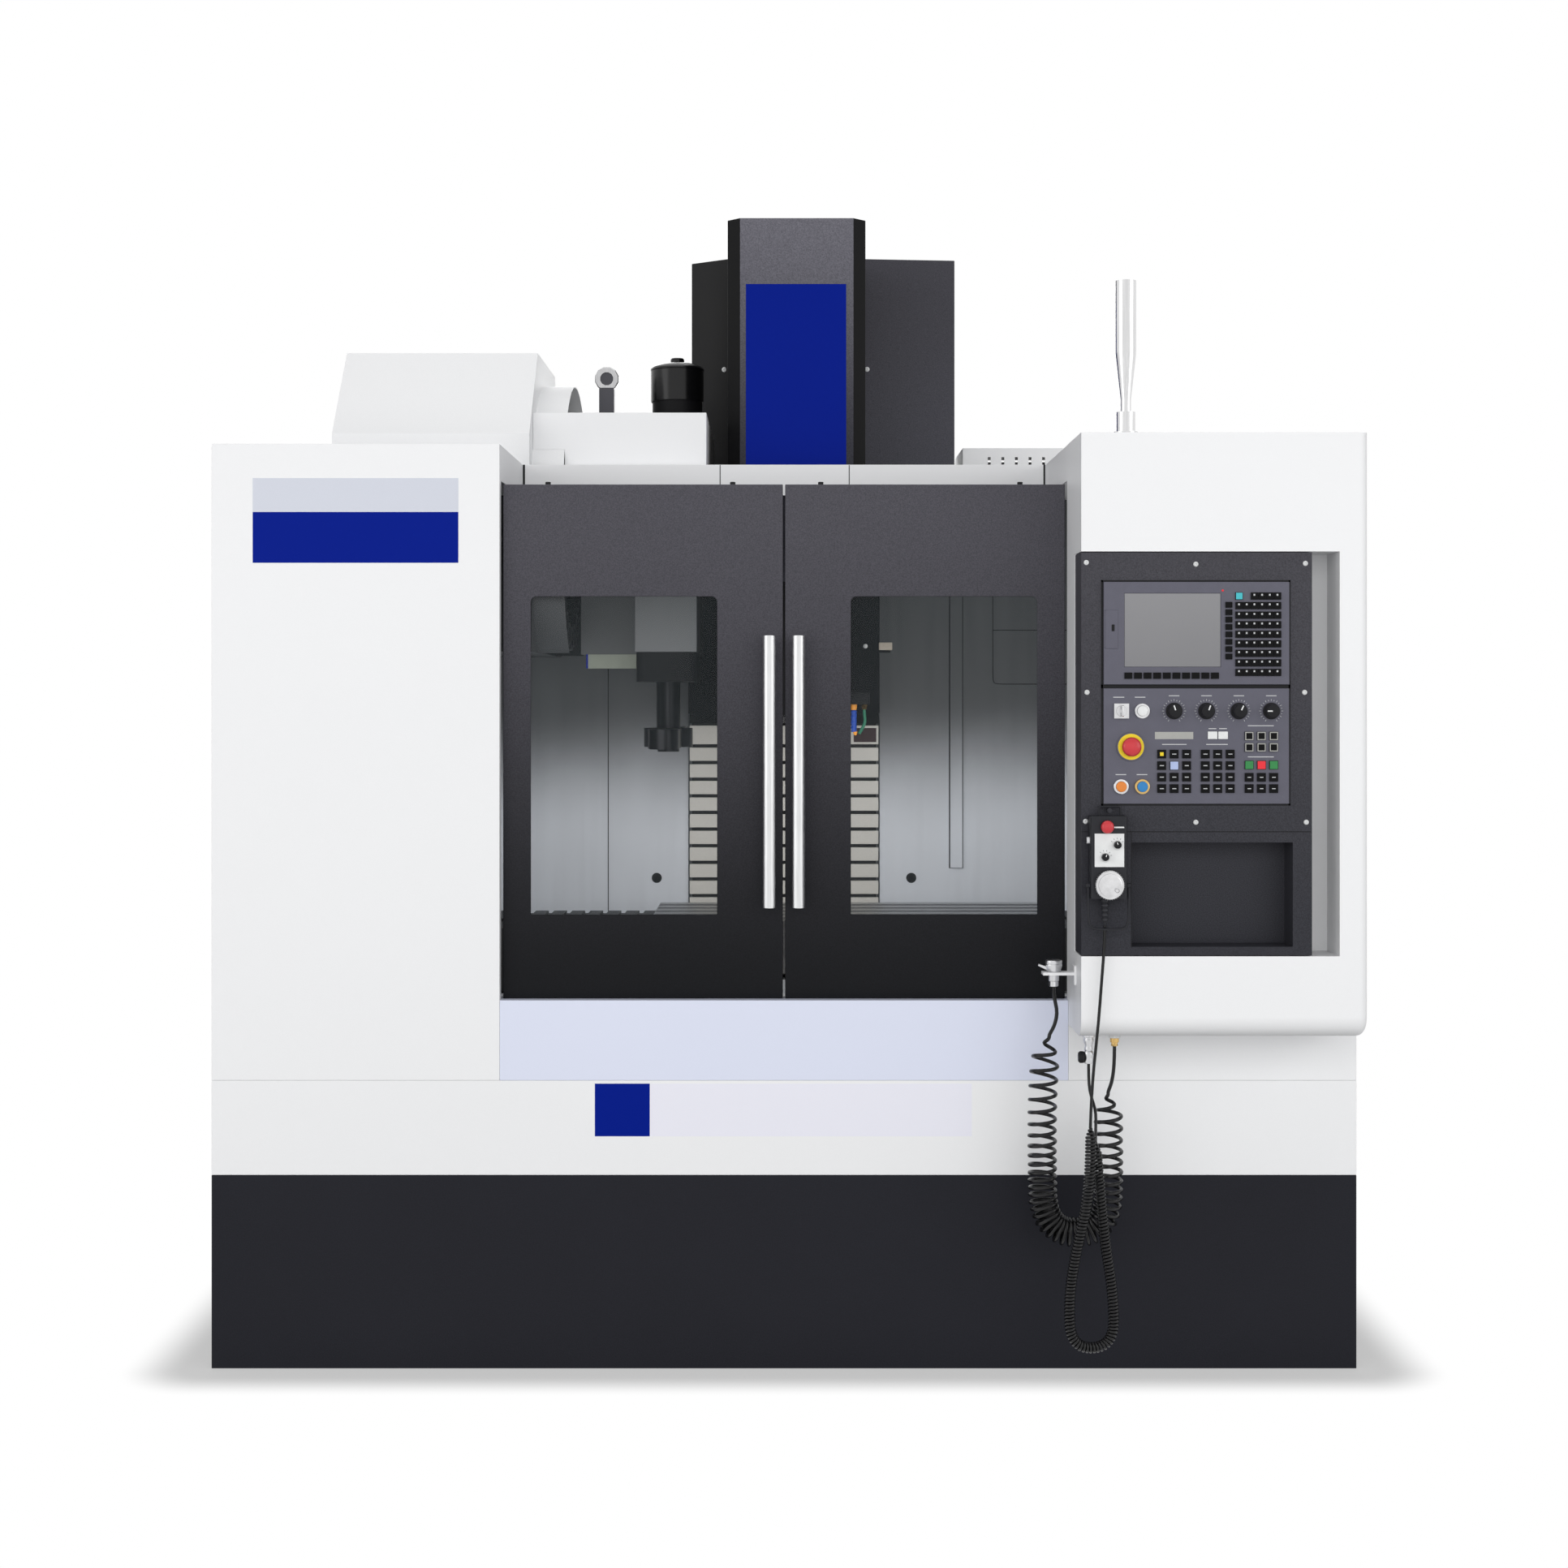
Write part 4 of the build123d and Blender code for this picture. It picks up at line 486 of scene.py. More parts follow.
WHITE = PowderCoat("white_powder_coat", SHEET_WHITE, mottle=0.012)
LAVENDER = PowderCoat("lavender_film", (0.72, 0.755, 0.89), 0.35, mottle=0.01, depth=0.00003, sheen=0.3)
# Painted sheen: the doors' charcoal turns lighter towards the top, where the overhead light's reflection
# falls.
DOOR_SHEEN_COAT = TwoToneShadedCoat("door_charcoal_painted_sheen", (0.004, 0.0044, 0.0056), (0.072, 0.070, 0.083), 0.80, 1.95, sheen=0.15)
SKIRT = PowderCoat("skirt_charcoal", (0.0125, 0.013, 0.0175), 0.55, 420.0, 0.0002, 0.2, 0.15)
# The hood's charcoal is lighter towards its top, and black beyond its front face as painted shade on the side
# chamfers turned from the light.
HOOD_SHADED_COAT = TwoToneShadedCoat(
    "hood_charcoal_painted_shade",
    (0.034, 0.034, 0.043),
    (0.150, 0.147, 0.172),
    bottom=2.0,
    top=2.75,
    sheen=0.1,
    shaded_left=-0.1077,
    shaded_right=0.1703,
)
# The shroud's charcoal is a little darker towards its top, and black left of its front face as painted shade
# on the face turned from the light.
SHROUD_SHADED_COAT = TwoToneShadedCoat(
    "shroud_charcoal_painted_shade", (0.058, 0.058, 0.071), (0.045, 0.044, 0.054), 2.1, 2.6, shaded_left=-0.125
)
POST = PowderCoat("post_charcoal", (0.045, 0.045, 0.055))
# The magazine cover is white above the roof line and near-black below it, painted shade where it sits inside
# the dim enclosure.
COVER_SHADED_COAT = TwoToneShadedCoat(
    "magazine_coat_painted_shade",
    (0.045, 0.047, 0.05),
    SHEET_WHITE,
    bottom=1.9455,
    top=1.9465,
    sheen=0.4,
    mottle=0.012,
    cloud=0.0,
)
FIELD_BLUE = PowderCoat("plain_blue_film", (0.001, 0.012, 0.24), 0.3, mottle=0.03, depth=0.00002, sheen=0.05)
FIELD_PALE = PowderCoat("plain_pale_film", (0.61, 0.635, 0.71), 0.3, mottle=0.02, depth=0.00002)
FIELD_WHITE = PowderCoat("plain_white_film", (0.82, 0.82, 0.90), 0.3, mottle=0.01, depth=0.00002)
# The liner's dark upper tone is painted shade; the pale lower tone is the sheet's own colour.
LINER_SHADED = LinerSheet("liner_sheet_painted_shade", (0.70, 0.73, 0.78), (0.095, 0.10, 0.106), 1.14, 1.54)
# Painted sheen: the console's charcoal turns lighter towards the top, where the overhead light's reflection
# falls.
CONSOLE_SHEEN_COAT = TwoToneShadedCoat("console_charcoal_painted_sheen", (0.030, 0.0305, 0.037), (0.054, 0.053, 0.062), 0.93, 1.77, sheen=0.15)
GUARD = PowderCoat("guard_grey", (0.10, 0.105, 0.11), 0.35, mottle=0.05)
HANDLE = WorkedMetal("brushed_aluminium", (0.80, 0.805, 0.81), 0.34, (1, 1, 0.03), 600.0)
SLATS = PowderCoat("slat_steel", (0.68, 0.66, 0.61), 0.4, 350.0, 0.00005, 0.07)
TURNED = WorkedMetal("turned_steel", (0.56, 0.56, 0.57), 0.22, (1, 1, 0.05), 600.0)
BLACKENED = WorkedMetal("blackened_steel", (0.06, 0.06, 0.065), 0.35)
CHROME = WorkedMetal("polished_chrome", (0.74, 0.74, 0.75), 0.2, (1, 1, 1), 45.0, 0.00001, 0.2)
ALUMINIUM = WorkedMetal("anodised_aluminium", (0.72, 0.725, 0.74), 0.33, (1, 1, 0.05), 110.0, streak=0.25)
BRASS = WorkedMetal("turned_brass", (0.68, 0.46, 0.18), 0.28)
IRON = WorkedMetal("milled_iron", (0.46, 0.46, 0.47), 0.4, (0.04, 1, 1), 350.0)
GREY_CAST = Casting("grey_enamel", (0.30, 0.31, 0.32))
BLACK_CAST = Casting("black_enamel", (0.006, 0.006, 0.0068), 0.5, 0.00008, 0.12)
BEIGE = Moulding("beige_block", (0.50, 0.44, 0.36), 0.45)
RUBBER = Moulding("black_bellows", (0.012, 0.012, 0.013), 0.55, 300.0, 0.0002)
CORD_SKIN = Moulding("glossy_hose", DEEP_BLACK, 0.22, 800.0, 0.00003, sheen=0.35)
BLACK = Moulding("black_plastic_grain", (0.009, 0.009, 0.0105), sheen=0.2)
PENDANT = Moulding("pendant_case", (0.012, 0.0125, 0.016), 0.45, 900.0, 0.00008, sheen=0.3)
LAMP_BODY = WorkedMetal("lamp_body_satin", (0.72, 0.72, 0.725), 0.24, (1, 1, 0.02), 400.0, streak=0.08)
KEY_BLACK = Moulding("key_black", DEEP_BLACK, 0.35, sheen=0.1)
KEY_PALE = Moulding("key_pale", (0.36, 0.36, 0.34))
KEY_SKY = Moulding("key_sky", (0.40, 0.48, 0.72))
KEY_GREEN = Moulding("key_green", (0.02, 0.20, 0.05))
KEY_CYAN = Moulding("key_cyan", (0.05, 0.46, 0.52))
MARK = Moulding("pale_marks", (0.50, 0.51, 0.52), 0.5)
PANEL = Moulding("slate_panel", (0.085, 0.084, 0.112), 0.42, 600.0, 0.00005)
RED = Moulding("stop_red", (0.55, 0.02, 0.03), 0.3, coat=0.3)
YELLOW = Moulding("stop_yellow", (0.80, 0.60, 0.01))
ORANGE = Moulding("lens_orange", (0.75, 0.22, 0.02), 0.25, coat=0.2)
BLUE = Moulding("lens_blue", (0.01, 0.20, 0.50), 0.25, coat=0.2)
PEARL = Moulding("white_plastic", (0.74, 0.75, 0.75), 0.3)
LED = Moulding("lamp_red", (0.60, 0.01, 0.02), 0.3, glow=0.3)
HOSE_BLUE = Moulding("nozzle_blue", (0.01, 0.06, 0.36), 0.35)
HOSE_ORANGE = Moulding("nozzle_orange", (0.75, 0.30, 0.03))
HOSE_GREEN = Moulding("tube_green", (0.02, 0.16, 0.09))
MAROON = Moulding("maroon_plate", (0.05, 0.015, 0.02), 0.35)
SLOT_PALE = Moulding("slot_pale", (0.30, 0.33, 0.27), 0.5)
GLASS = Pane("tinted_pane", (0.10, 0.12, 0.13), 0.07)
SCREEN = DarkScreen("grey_screen", (0.19, 0.19, 0.20), (0.23, 0.23, 0.24), 1.528, 1.682)

_BUILT: dict[str, bpy.types.Material] = {}


def material(finish: Finish) -> bpy.types.Material:
    """Finds a finish's material, and builds it the first time.

    Args:
        finish: the finish.

    Returns:
        Its material.
    """
    if finish.name not in _BUILT:
        _BUILT[finish.name] = finish.build()
    return _BUILT[finish.name]


class Shape:
    """A mesh made from bmesh operators, in millimetres of the shared frame."""

    def __init__(self) -> None:
        """Starts empty."""
        self.mesh = bmesh.new()

    @staticmethod
    def _soften(
        mesh: bmesh.types.BMesh, edges: Iterable[bmesh.types.BMEdge], width: float, segments: int
    ) -> None:
        """Rounds edges.

        Args:
            mesh: the mesh.
            edges: the edges.
            width: the rounding's width.
            segments: its steps.
        """
        bmesh.ops.bevel(
            mesh,
            geom=list(edges),
            offset=width,
            offset_type="OFFSET",
            segments=segments,
            profile=0.5,
            affect="EDGES",
            clamp_overlap=True,
            material=-1,
        )

    @staticmethod
    def _thicken(mesh: bmesh.types.BMesh, faces: Sequence[bmesh.types.BMFace], push: Point) -> None:
        """Extrudes flat faces by a vector."""
        grown = bmesh.ops.extrude_face_region(mesh, geom=faces)["geom"]
        bmesh.ops.translate(mesh, verts=[g for g in grown if isinstance(g, bmesh.types.BMVert)], vec=push)

    def block(self, low: Point, high: Point, bevel: float = 0.0, segments: int = 2) -> Shape:
        """Adds a box.

        Args:
            low: one corner.
            high: the opposite corner.
            bevel: the rounding of its edges.
            segments: the rounding's steps.

        Returns:
            The shape.
        """
        size = [abs(b - a) for a, b in zip(low, high)]
        middle = [(a + b) / 2 for a, b in zip(low, high)]
        matrix = Matrix.Translation(middle) @ Matrix.Diagonal((*size, 1))
        made = bmesh.ops.create_cube(self.mesh, size=1.0, matrix=matrix)
        if bevel:
            self._soften(self.mesh, {e for v in made["verts"] for e in v.link_edges}, bevel, segments)
        return self

    def rod(
        self,
        start: Point,
        end: Point,
        radius: float,
        tip: float | None = None,
        bevel: float = 0.0,
        sides: int = 32,
    ) -> Shape:
        """Adds a cylinder or a cone.

        Args:
            start: the centre of one end.
            end: the centre of the other.
            radius: the radius at the start.
            tip: the radius at the end, if it differs.
            bevel: the rounding of both rims.
            sides: how many sides it has.

        Returns:
            The shape.
        """
        first, last = Vector(start), Vector(end)
        turn = (last - first).to_track_quat("Z", "Y").to_matrix().to_4x4()
        made = bmesh.ops.create_cone(
            self.mesh,
            cap_ends=True,
            segments=sides,
            radius1=radius,
            radius2=radius if tip is None else tip,
            depth=(last - first).length,
            matrix=Matrix.Translation((first + last) / 2) @ turn,
        )
        if bevel:
            edges = {e for v in made["verts"] for e in v.link_edges}
            rims = [e for e in edges if any(len(f.verts) == sides for f in e.link_faces)]
            self._soften(self.mesh, rims, bevel, 2)
        return self

    def turned(self, profile: Sequence[Point], origin: Point, axis: Point, steps: int = 48) -> Shape:
        """Adds a turned form.

        Args:
            profile: radii and heights along the axis.
            origin: the point at height 0.
            axis: the direction of the height.
            steps: how many steps the turn has.

        Returns:
            The shape.
        """
        made = bmesh.new()
        base, rise = Vector(origin), Vector(axis).normalized()
        side = rise.orthogonal().normalized()
        verts = [made.verts.new(base + side * radius + rise * height) for radius, height in profile]
        edges = [made.edges.new(pair) for pair in zip(verts, verts[1:])]
        bmesh.ops.spin(
            made,
            geom=[*verts, *edges],
            cent=base,
            axis=rise,
            angle=math.tau,
            steps=steps,
            use_merge=True,
            use_duplicate=False,
        )
        bmesh.ops.remove_doubles(made, verts=made.verts, dist=1e-4)
        bmesh.ops.recalc_face_normals(made, faces=made.faces)
        return self._join(made)

    def ring(self, centre: Point, axis: Point, major: float, minor: float, steps: int = 40) -> Shape:
        """Adds a ring of round section.

        Args:
            centre: its centre.
            axis: the direction through it.
            major: the radius of its middle line.
            minor: the radius of its section.
            steps: how many steps the turn has.

        Returns:
            The shape.
        """
        turns = [math.tau * n / 12 for n in range(13)]
        section = [(major + minor * math.cos(a), minor * math.sin(a)) for a in turns]
        return self.turned(section, centre, axis, steps)

    def plate(self, outline: Sequence[Point], push: Point, bevel: float = 0.0) -> Shape:
        """Adds a plate.

        Args:
            outline: the corners of its flat outline.
            push: its thickness as a vector.
            bevel: the rounding of its edges.

        Returns:
            The shape.
        """
        made = bmesh.new()
        face = made.faces.new([made.verts.new(p) for p in outline])
        self._thicken(made, [face], push)
        bmesh.ops.recalc_face_normals(made, faces=made.faces)
        if bevel:
            self._soften(made, made.edges, bevel, 2)
        return self._join(made)

    def tick(
        self, centre: Point, angle: float, inner: float, outer: float, width: float, face: float
    ) -> Shape:
        """Adds a raised radial mark on a face that looks to the front.

        Args:
            centre: X and Z of the dial's centre.
            angle: the mark's angle, clockwise from the top.
            inner: where it starts.
            outer: where it ends.
            width: its width.
            face: Y of the face.

        Returns:
            The shape.
        """
        along = Vector((math.sin(angle), 0, math.cos(angle)))
        across = Vector((math.cos(angle), 0, -math.sin(angle))) * (width / 2)
        middle = Vector((centre[0], face, centre[1]))
        near, far = middle + along * inner, middle + along * outer
        return self.plate([near - across, near + across, far + across, far - across], (0, -0.3, 0))

    def tube(self, points: Sequence[Point], radius: float) -> Shape:
        """Adds a bent round wire or hose.

        Args:
            points: the points that its line runs near.
            radius: its radius.

        Returns:
            The shape.
        """
        read = as_mesh(spline("tube", points, 6, radius, 3))
        self.mesh.from_mesh(read)
        bpy.data.meshes.remove(read)
        return self

    def screw(self, centre: Point, axis: Point, radius: float) -> Shape:
        """Returns: the shape with a button-head screw, whose centre lies under its head."""
        outline = ((0, 0.15), (0.42, 0.15), (0.42, 0.62), (0.72, 0.52), (0.94, 0.25), (1, 0))
        return self.turned([(r * radius, h * radius) for r, h in outline], centre, axis, 20)

    def film(self, x: Point, z: Point, face: float, depth: float = 0.4) -> Shape:
        """Returns: the shape with a thin plate on a front face, between edges in X and in Z."""
        return self.block((x[0], face - depth, z[0]), (x[1], face, z[1]))

    def key_cap(self, centre: Point, width: float, face: float) -> Shape:
        """Returns: the shape with a square cap, centred in X and Z, on the face of a key."""
        (x, z), half = centre, width / 2
        return self.block((x - half, face - 0.4, z - half), (x + half, face, z + half), 0.3, 1)

    def square_bezel(self, centre: Point, half: float, hole: float, depth: float) -> Shape:
        """Adds a square plate with a round hole that looks to the front.

        Args:
            centre: the middle of its back.
            half: half its width.
            hole: the hole's radius.
            depth: its thickness.

        Returns:
            The shape.
        """
        made = bmesh.new()
        turn = Matrix.Rotation(math.radians(90), 4, "X")
        bmesh.ops.create_circle(made, segments=32, radius=hole)
        outer = bmesh.ops.create_circle(made, segments=32, radius=half)["verts"]
        for vert in outer:
            vert.co *= half / max(abs(vert.co.x), abs(vert.co.y))
        flat = bmesh.ops.bridge_loops(made, edges=made.edges[:])["faces"]
        self._thicken(made, flat, (0, 0, depth))
        bmesh.ops.transform(made, matrix=Matrix.Translation(centre) @ turn, verts=made.verts)
        bmesh.ops.recalc_face_normals(made, faces=made.faces)
        return self._join(made)

    def node_copy(self, node: str, bevel: float, drop: Sequence[tuple[Point, Point]] = ()) -> Shape:
        """Adds a copy of a CAD node with merged triangles and rounded edges.

        Args:
            node: the node's name.
            bevel: the rounding of its sharp edges.
            drop: boxes whose contents are left out.

        Returns:
            The shape.
        """
        made = bmesh.new()
        made.from_mesh(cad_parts[node].data)
        bmesh.ops.scale(made, vec=(1 / MM,) * 3, verts=made.verts)
        bmesh.ops.remove_doubles(made, verts=made.verts, dist=0.01)
        for low, high in drop:
            inside = [v for v in made.verts if all(a < c < b for a, c, b in zip(low, v.co, high))]
            bmesh.ops.delete(made, geom=inside, context="VERTS")
        if drop:
            bmesh.ops.holes_fill(made, edges=[e for e in made.edges if e.is_boundary], sides=0)
        bmesh.ops.dissolve_limit(
            made, angle_limit=FLAT_BELOW, verts=made.verts, edges=made.edges, delimit={"NORMAL"}
        )
        bmesh.ops.triangulate(made, faces=made.faces, quad_method="BEAUTY", ngon_method="BEAUTY")
        sharp = [e for e in made.edges if e.is_manifold and e.calc_face_angle(0) > SHARP_ABOVE]
        self._soften(made, sharp, bevel, 2)
        return self._join(made)

    def _join(self, other: bmesh.types.BMesh) -> Shape:
        """Takes in another mesh.

        Args:
            other: the mesh, which is freed.

        Returns:
            The shape.
        """
        scratch = bpy.data.meshes.new("scratch")
        other.to_mesh(scratch)
        other.free()
        self.mesh.from_mesh(scratch)
        bpy.data.meshes.remove(scratch)
        return self

    def finished(self, name: str, finish: Finish, body: str, slot: Slot, *nodes: str) -> bpy.types.Object:
        """Turns the shape into a piece of the machine.

        Args:
            name: the piece's name.
            finish: its finish.
            body: the body that it rides on.
            slot: the record's slot, which is not used.
            nodes: the CAD nodes that it stands for.

        Returns:
            The piece.
        """
        bmesh.ops.scale(self.mesh, vec=(MM,) * 3, verts=self.mesh.verts)
        data = bpy.data.meshes.new(name)
        self.mesh.to_mesh(data)
        self.mesh.free()
        data.materials.append(material(finish))
        data.shade_smooth()
        data.set_sharp_from_angle(angle=SMOOTH_BELOW)
        piece = placed(name, data)
        piece.modifiers.new("flat_faces", "WEIGHTED_NORMAL").keep_sharp = True
        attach(piece, body)
        if nodes:
            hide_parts(*nodes)
        LOG.info("%s: %d faces on %s", name, len(data.polygons), body)
        return piece


def dress(finish: Finish, *nodes: str) -> None:
    """Gives CAD nodes that keep their own shape a finish.

    Args:
        finish: the finish.
        nodes: the nodes' names.
    """
    for node in nodes:
        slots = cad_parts[node].data.materials
        for index in range(len(slots)):
            slots[index] = material(finish)


def reskin(
    node: str,
    name: str,
    finish: Finish,
    slot: Slot,
    bevel: float,
    body: str = "frame",
    drop: Sequence[tuple[Point, Point]] = (),
) -> None:
    """Puts a rounded copy of a CAD node in the node's place.

    Args:
        node: the node's name.
        name: the piece's name.
        finish: its finish.
        slot: the record's slot.
        bevel: the rounding of its sharp edges.
        body: the body that it rides on.
        drop: boxes whose contents are left out.
    """
    Shape().node_copy(node, bevel, drop).finished(name, finish, body, slot, node)


def corners(node: str) -> tuple[Vector, ...]:
    """Reads a CAD node's lowest and highest corners.

    Args:
        node: the node's name.

    Returns:
        Both corners in millimetres.
    """
    return tuple(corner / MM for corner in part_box(node))


def placed(name: str, data: bpy.types.ID) -> bpy.types.Object:
    """Adds an object to the scene.

    Args:
        name: its name.
        data: its mesh, curve, camera or light.

    Returns:
        The object.
    """
    made = bpy.data.objects.new(name, data)
    bpy.context.collection.objects.link(made)
    return made


def spline(
    name: str, points: Sequence[Point], fineness: int, radius: float = 0.0, roundness: int = 0
) -> bpy.types.Curve:
    """Makes a curve of one open spline.

    Args:
        name: the curve's name.
        points: its control points.
        fineness: its steps between two points.
        radius: the radius of the tube round it.
        roundness: the steps of the tube's section.

    Returns:
        The curve.
    """
    curve = bpy.data.curves.new(name, "CURVE")
    curve.dimensions = "3D"
    curve.resolution_u = fineness
    made = curve.splines.new("NURBS")
    made.points.add(len(points) - 1)
    for held, point in zip(made.points, points):
        held.co = (*point, 1.0)
    made.order_u = 3
    made.use_endpoint_u = True
    if radius:
        curve.bevel_depth = radius
        curve.bevel_resolution = roundness
        curve.use_fill_caps = True
    return curve


def as_mesh(curve: bpy.types.Curve) -> bpy.types.Mesh:
    """Turns a curve into a mesh.

    Args:
        curve: the curve, which is removed.

    Returns:
        The mesh.
    """
    scratch = bpy.data.objects.new(curve.name, curve)
    read = bpy.data.meshes.new_from_object(scratch)
    bpy.data.objects.remove(scratch)
    bpy.data.curves.remove(curve)
    return read


@dataclass
class CurlyCord:
    """A curly cord: a plain tail, a helix along a hanging route, and a plain end, in metres."""

    name: str
    node: str
    body: str
    tail: Sequence[Point]
    coil: Sequence[Point]
    end: Sequence[Point]
    radius: float
    coil_radius: float
    pitches: Sequence[float]
    gather: float
    fineness: int = 3
    wobble: float = 0.0
    turn_points: int = 12

    def route(self) -> list[Vector]:
        """Returns: points read from the smooth line that the helix follows."""
        read = as_mesh(spline(f"{self.name}_route", self.coil, 16))
        found = [v.co.copy() for v in read.vertices]
        bpy.data.meshes.remove(read)
        return found

    def helix(self) -> list[Vector]:
        """Returns: the helix's points, whose pitch follows the pitches along the route."""
        path = self.route()
        lengths = [0.0]
        for a, b in zip(path, path[1:]):
            lengths.append(lengths[-1] + (b - a).length)
        total = lengths[-1]
        chance = random.Random(3)
        found: list[Vector] = []
        run, turn, index = 0.0, 0.0, 0
        side = Vector((1, 0, 0))
        wide = self.coil_radius - self.radius
        while run < total:
            while index < len(lengths) - 2 and lengths[index + 1] < run:
                index += 1
            share = (run - lengths[index]) / max(lengths[index + 1] - lengths[index], 1e-9)
            centre = path[index].lerp(path[index + 1], share)
            ahead = (path[index + 1] - path[index]).normalized()
            side = (side - ahead * side.dot(ahead)).normalized()
            grown = min(1.0, run / self.gather, (total - run) / self.gather)
            spread = wide * grown * grown * (3 - 2 * grown)
            spread *= 1 + self.wobble * (chance.random() - 0.5)
            found.append(centre + (side * math.cos(turn) + ahead.cross(side) * math.sin(turn)) * spread)
            place = run / total * (len(self.pitches) - 1)
            low = min(int(place), len(self.pitches) - 2)
            pitch = self.pitches[low] + (self.pitches[low + 1] - self.pitches[low]) * (place - low)
            run += pitch / self.turn_points
            turn += math.tau / self.turn_points
        return found

    def build(self, length: float) -> None:
        """Args:
            length: the real cord's length in metres, which is not used.
        """
        points = [Vector(p) for p in self.tail[:-1]] + self.helix() + [Vector(p) for p in self.end[1:]]
        curve = spline(self.name, points, self.fineness, self.radius, 2)
        curve.materials.append(material(CORD_SKIN))
        piece = placed(self.name, curve)
        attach(piece, self.body)
        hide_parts(self.node)
        LOG.info("%s: %d points on %s", self.name, len(points), self.body)


@dataclass
class Cords:
    """The air hose of the gun and the curly cable of the hand pendant."""

    hose_radius: float = 0.004
    hose_coil_radius: float = 0.0325
    hose_length: float = 7.4
    cable_radius: float = 0.00325
    cable_coil_radius: float = 0.012
    cable_length: float = 7.5

    def build(self) -> None:
        """Makes both cords."""
        CurlyCord(
            name="curly_air_hose",
            node="air_hose",
            body="frame",
            tail=[
                (0.575, -0.960, 0.849),
                (0.575, -0.960, 0.829),
                (0.583, -0.963, 0.796),
                (0.577, -0.969, 0.768),
                (0.551, -0.975, 0.725),
            ],
            coil=[
                (0.565, -0.972, 0.748),
                (0.551, -0.975, 0.690),
                (0.548, -0.975, 0.500),
                (0.552, -0.975, 0.328),
                (0.686, -0.975, 0.328),
                (0.691, -0.975, 0.470),
                (0.689, -0.975, 0.627),
            ],
            end=[
                (0.689, -0.975, 0.612),
                (0.698, -0.976, 0.650),
                (0.702, -0.980, 0.690),
                (0.702, -0.980, 0.725),
            ],
            radius=self.hose_radius,
            coil_radius=self.hose_coil_radius,
            pitches=[0.034, 0.030, 0.024, 0.016, 0.0115, 0.0115, 0.018, 0.025, 0.027],
            gather=0.055,
            wobble=0.04,
        ).build(self.hose_length)
        CurlyCord(
            name="curly_pendant_cable",
            node="pendant_cable",
            body="console",
            tail=[
                (0.667, -1.085, 0.991),
                (0.667, -1.085, 0.962),
                (0.660, -1.087, 0.876),
                (0.653, -1.090, 0.788),
                (0.643, -1.092, 0.700),
                (0.638, -1.092, 0.630),
                (0.636, -1.092, 0.560),
            ],
            coil=[
                (0.636, -1.092, 0.577),
                (0.638, -1.092, 0.450),
                (0.607, -1.091, 0.320),
                (0.591, -1.089, 0.215),
                (0.597, -1.086, 0.112),
                (0.686, -1.073, 0.112),
                (0.688, -1.069, 0.215),
                (0.664, -1.067, 0.360),
                (0.650, -1.066, 0.540),
            ],
            end=[
                (0.650, -1.066, 0.525),
                (0.651, -1.062, 0.565),
                (0.654, -1.045, 0.592),
                (0.653, -1.015, 0.608),
                (0.648, -0.988, 0.630),
                (0.647, -0.980, 0.660),
                (0.647, -0.980, 0.688),
            ],
            radius=self.cable_radius,
            coil_radius=self.cable_coil_radius,
            pitches=[0.0074, 0.0071, 0.0072, 0.0074],
            gather=0.030,
            fineness=2,
        ).build(self.cable_length)


@dataclass
class SheetMetal:
    """The white panels, the skirt and the roof, with plain colour fields where labels go."""

    edge: float = 1.2
    front: float = -845.0
    lintel: float = -398.0
    left_field: Pair = (-1160.0, -711.0)
    pale_band: Pair = (1870.0, 1944.0)
    blue_band: Pair = (1759.0, 1870.0)
    lower_band: Pair = (507.0, 622.0)
    lower_blue: Pair = (-413.0, -293.0)
    lower_white: Pair = (-293.0, 410.0)
    seal_low: Triple = (-1248.0, -843.5, 419.5)
    seal_high: Triple = (1248.0, 528.0, 423.2)
    thin_seams: Pair = (-152.0, 155.0)
    end_seams: Pair = (-621.0, 617.0)

    def build(self) -> None:
        """Makes the panels."""
        for node in ("left_enclosure", "right_enclosure", "lower_panel", "roof_panel"):
            reskin(node, f"{node}_skin", WHITE, Slot.WHITE, self.edge)
        reskin("sill_panel", "sill_skin", LAVENDER, Slot.FILM, self.edge)
        reskin("base_skirt", "skirt_skin", SKIRT, Slot.SKIRT, self.edge)
        seal = Shape().block(self.seal_low, self.seal_high)
        seal.finished("skirt_seal", BLACK, "frame", Slot.SKIRT)
        pale = Shape().film(self.left_field, self.pale_band, self.front)
        pale.finished("plain_pale_field", FIELD_PALE, "frame", Slot.WHITE)
        white = Shape().film(self.lower_white, self.lower_band, self.front)
        white.finished("plain_white_field", FIELD_WHITE, "frame", Slot.WHITE)
        blue = Shape().film(self.left_field, self.blue_band, self.front)
        blue.film(self.lower_blue, self.lower_band, self.front)
        blue.finished("plain_blue_fields", FIELD_BLUE, "frame", Slot.WHITE)
        seams = Shape()
        for x in self.thin_seams:
            seams.film((x - 1, x + 1), (1948, 2018), self.lintel)
        for x in self.end_seams:
            seams.film((x, x + 5), (1946, 2019), self.lintel)
        seams.finished("lintel_seams", BLACK, "frame", Slot.SKIRT)


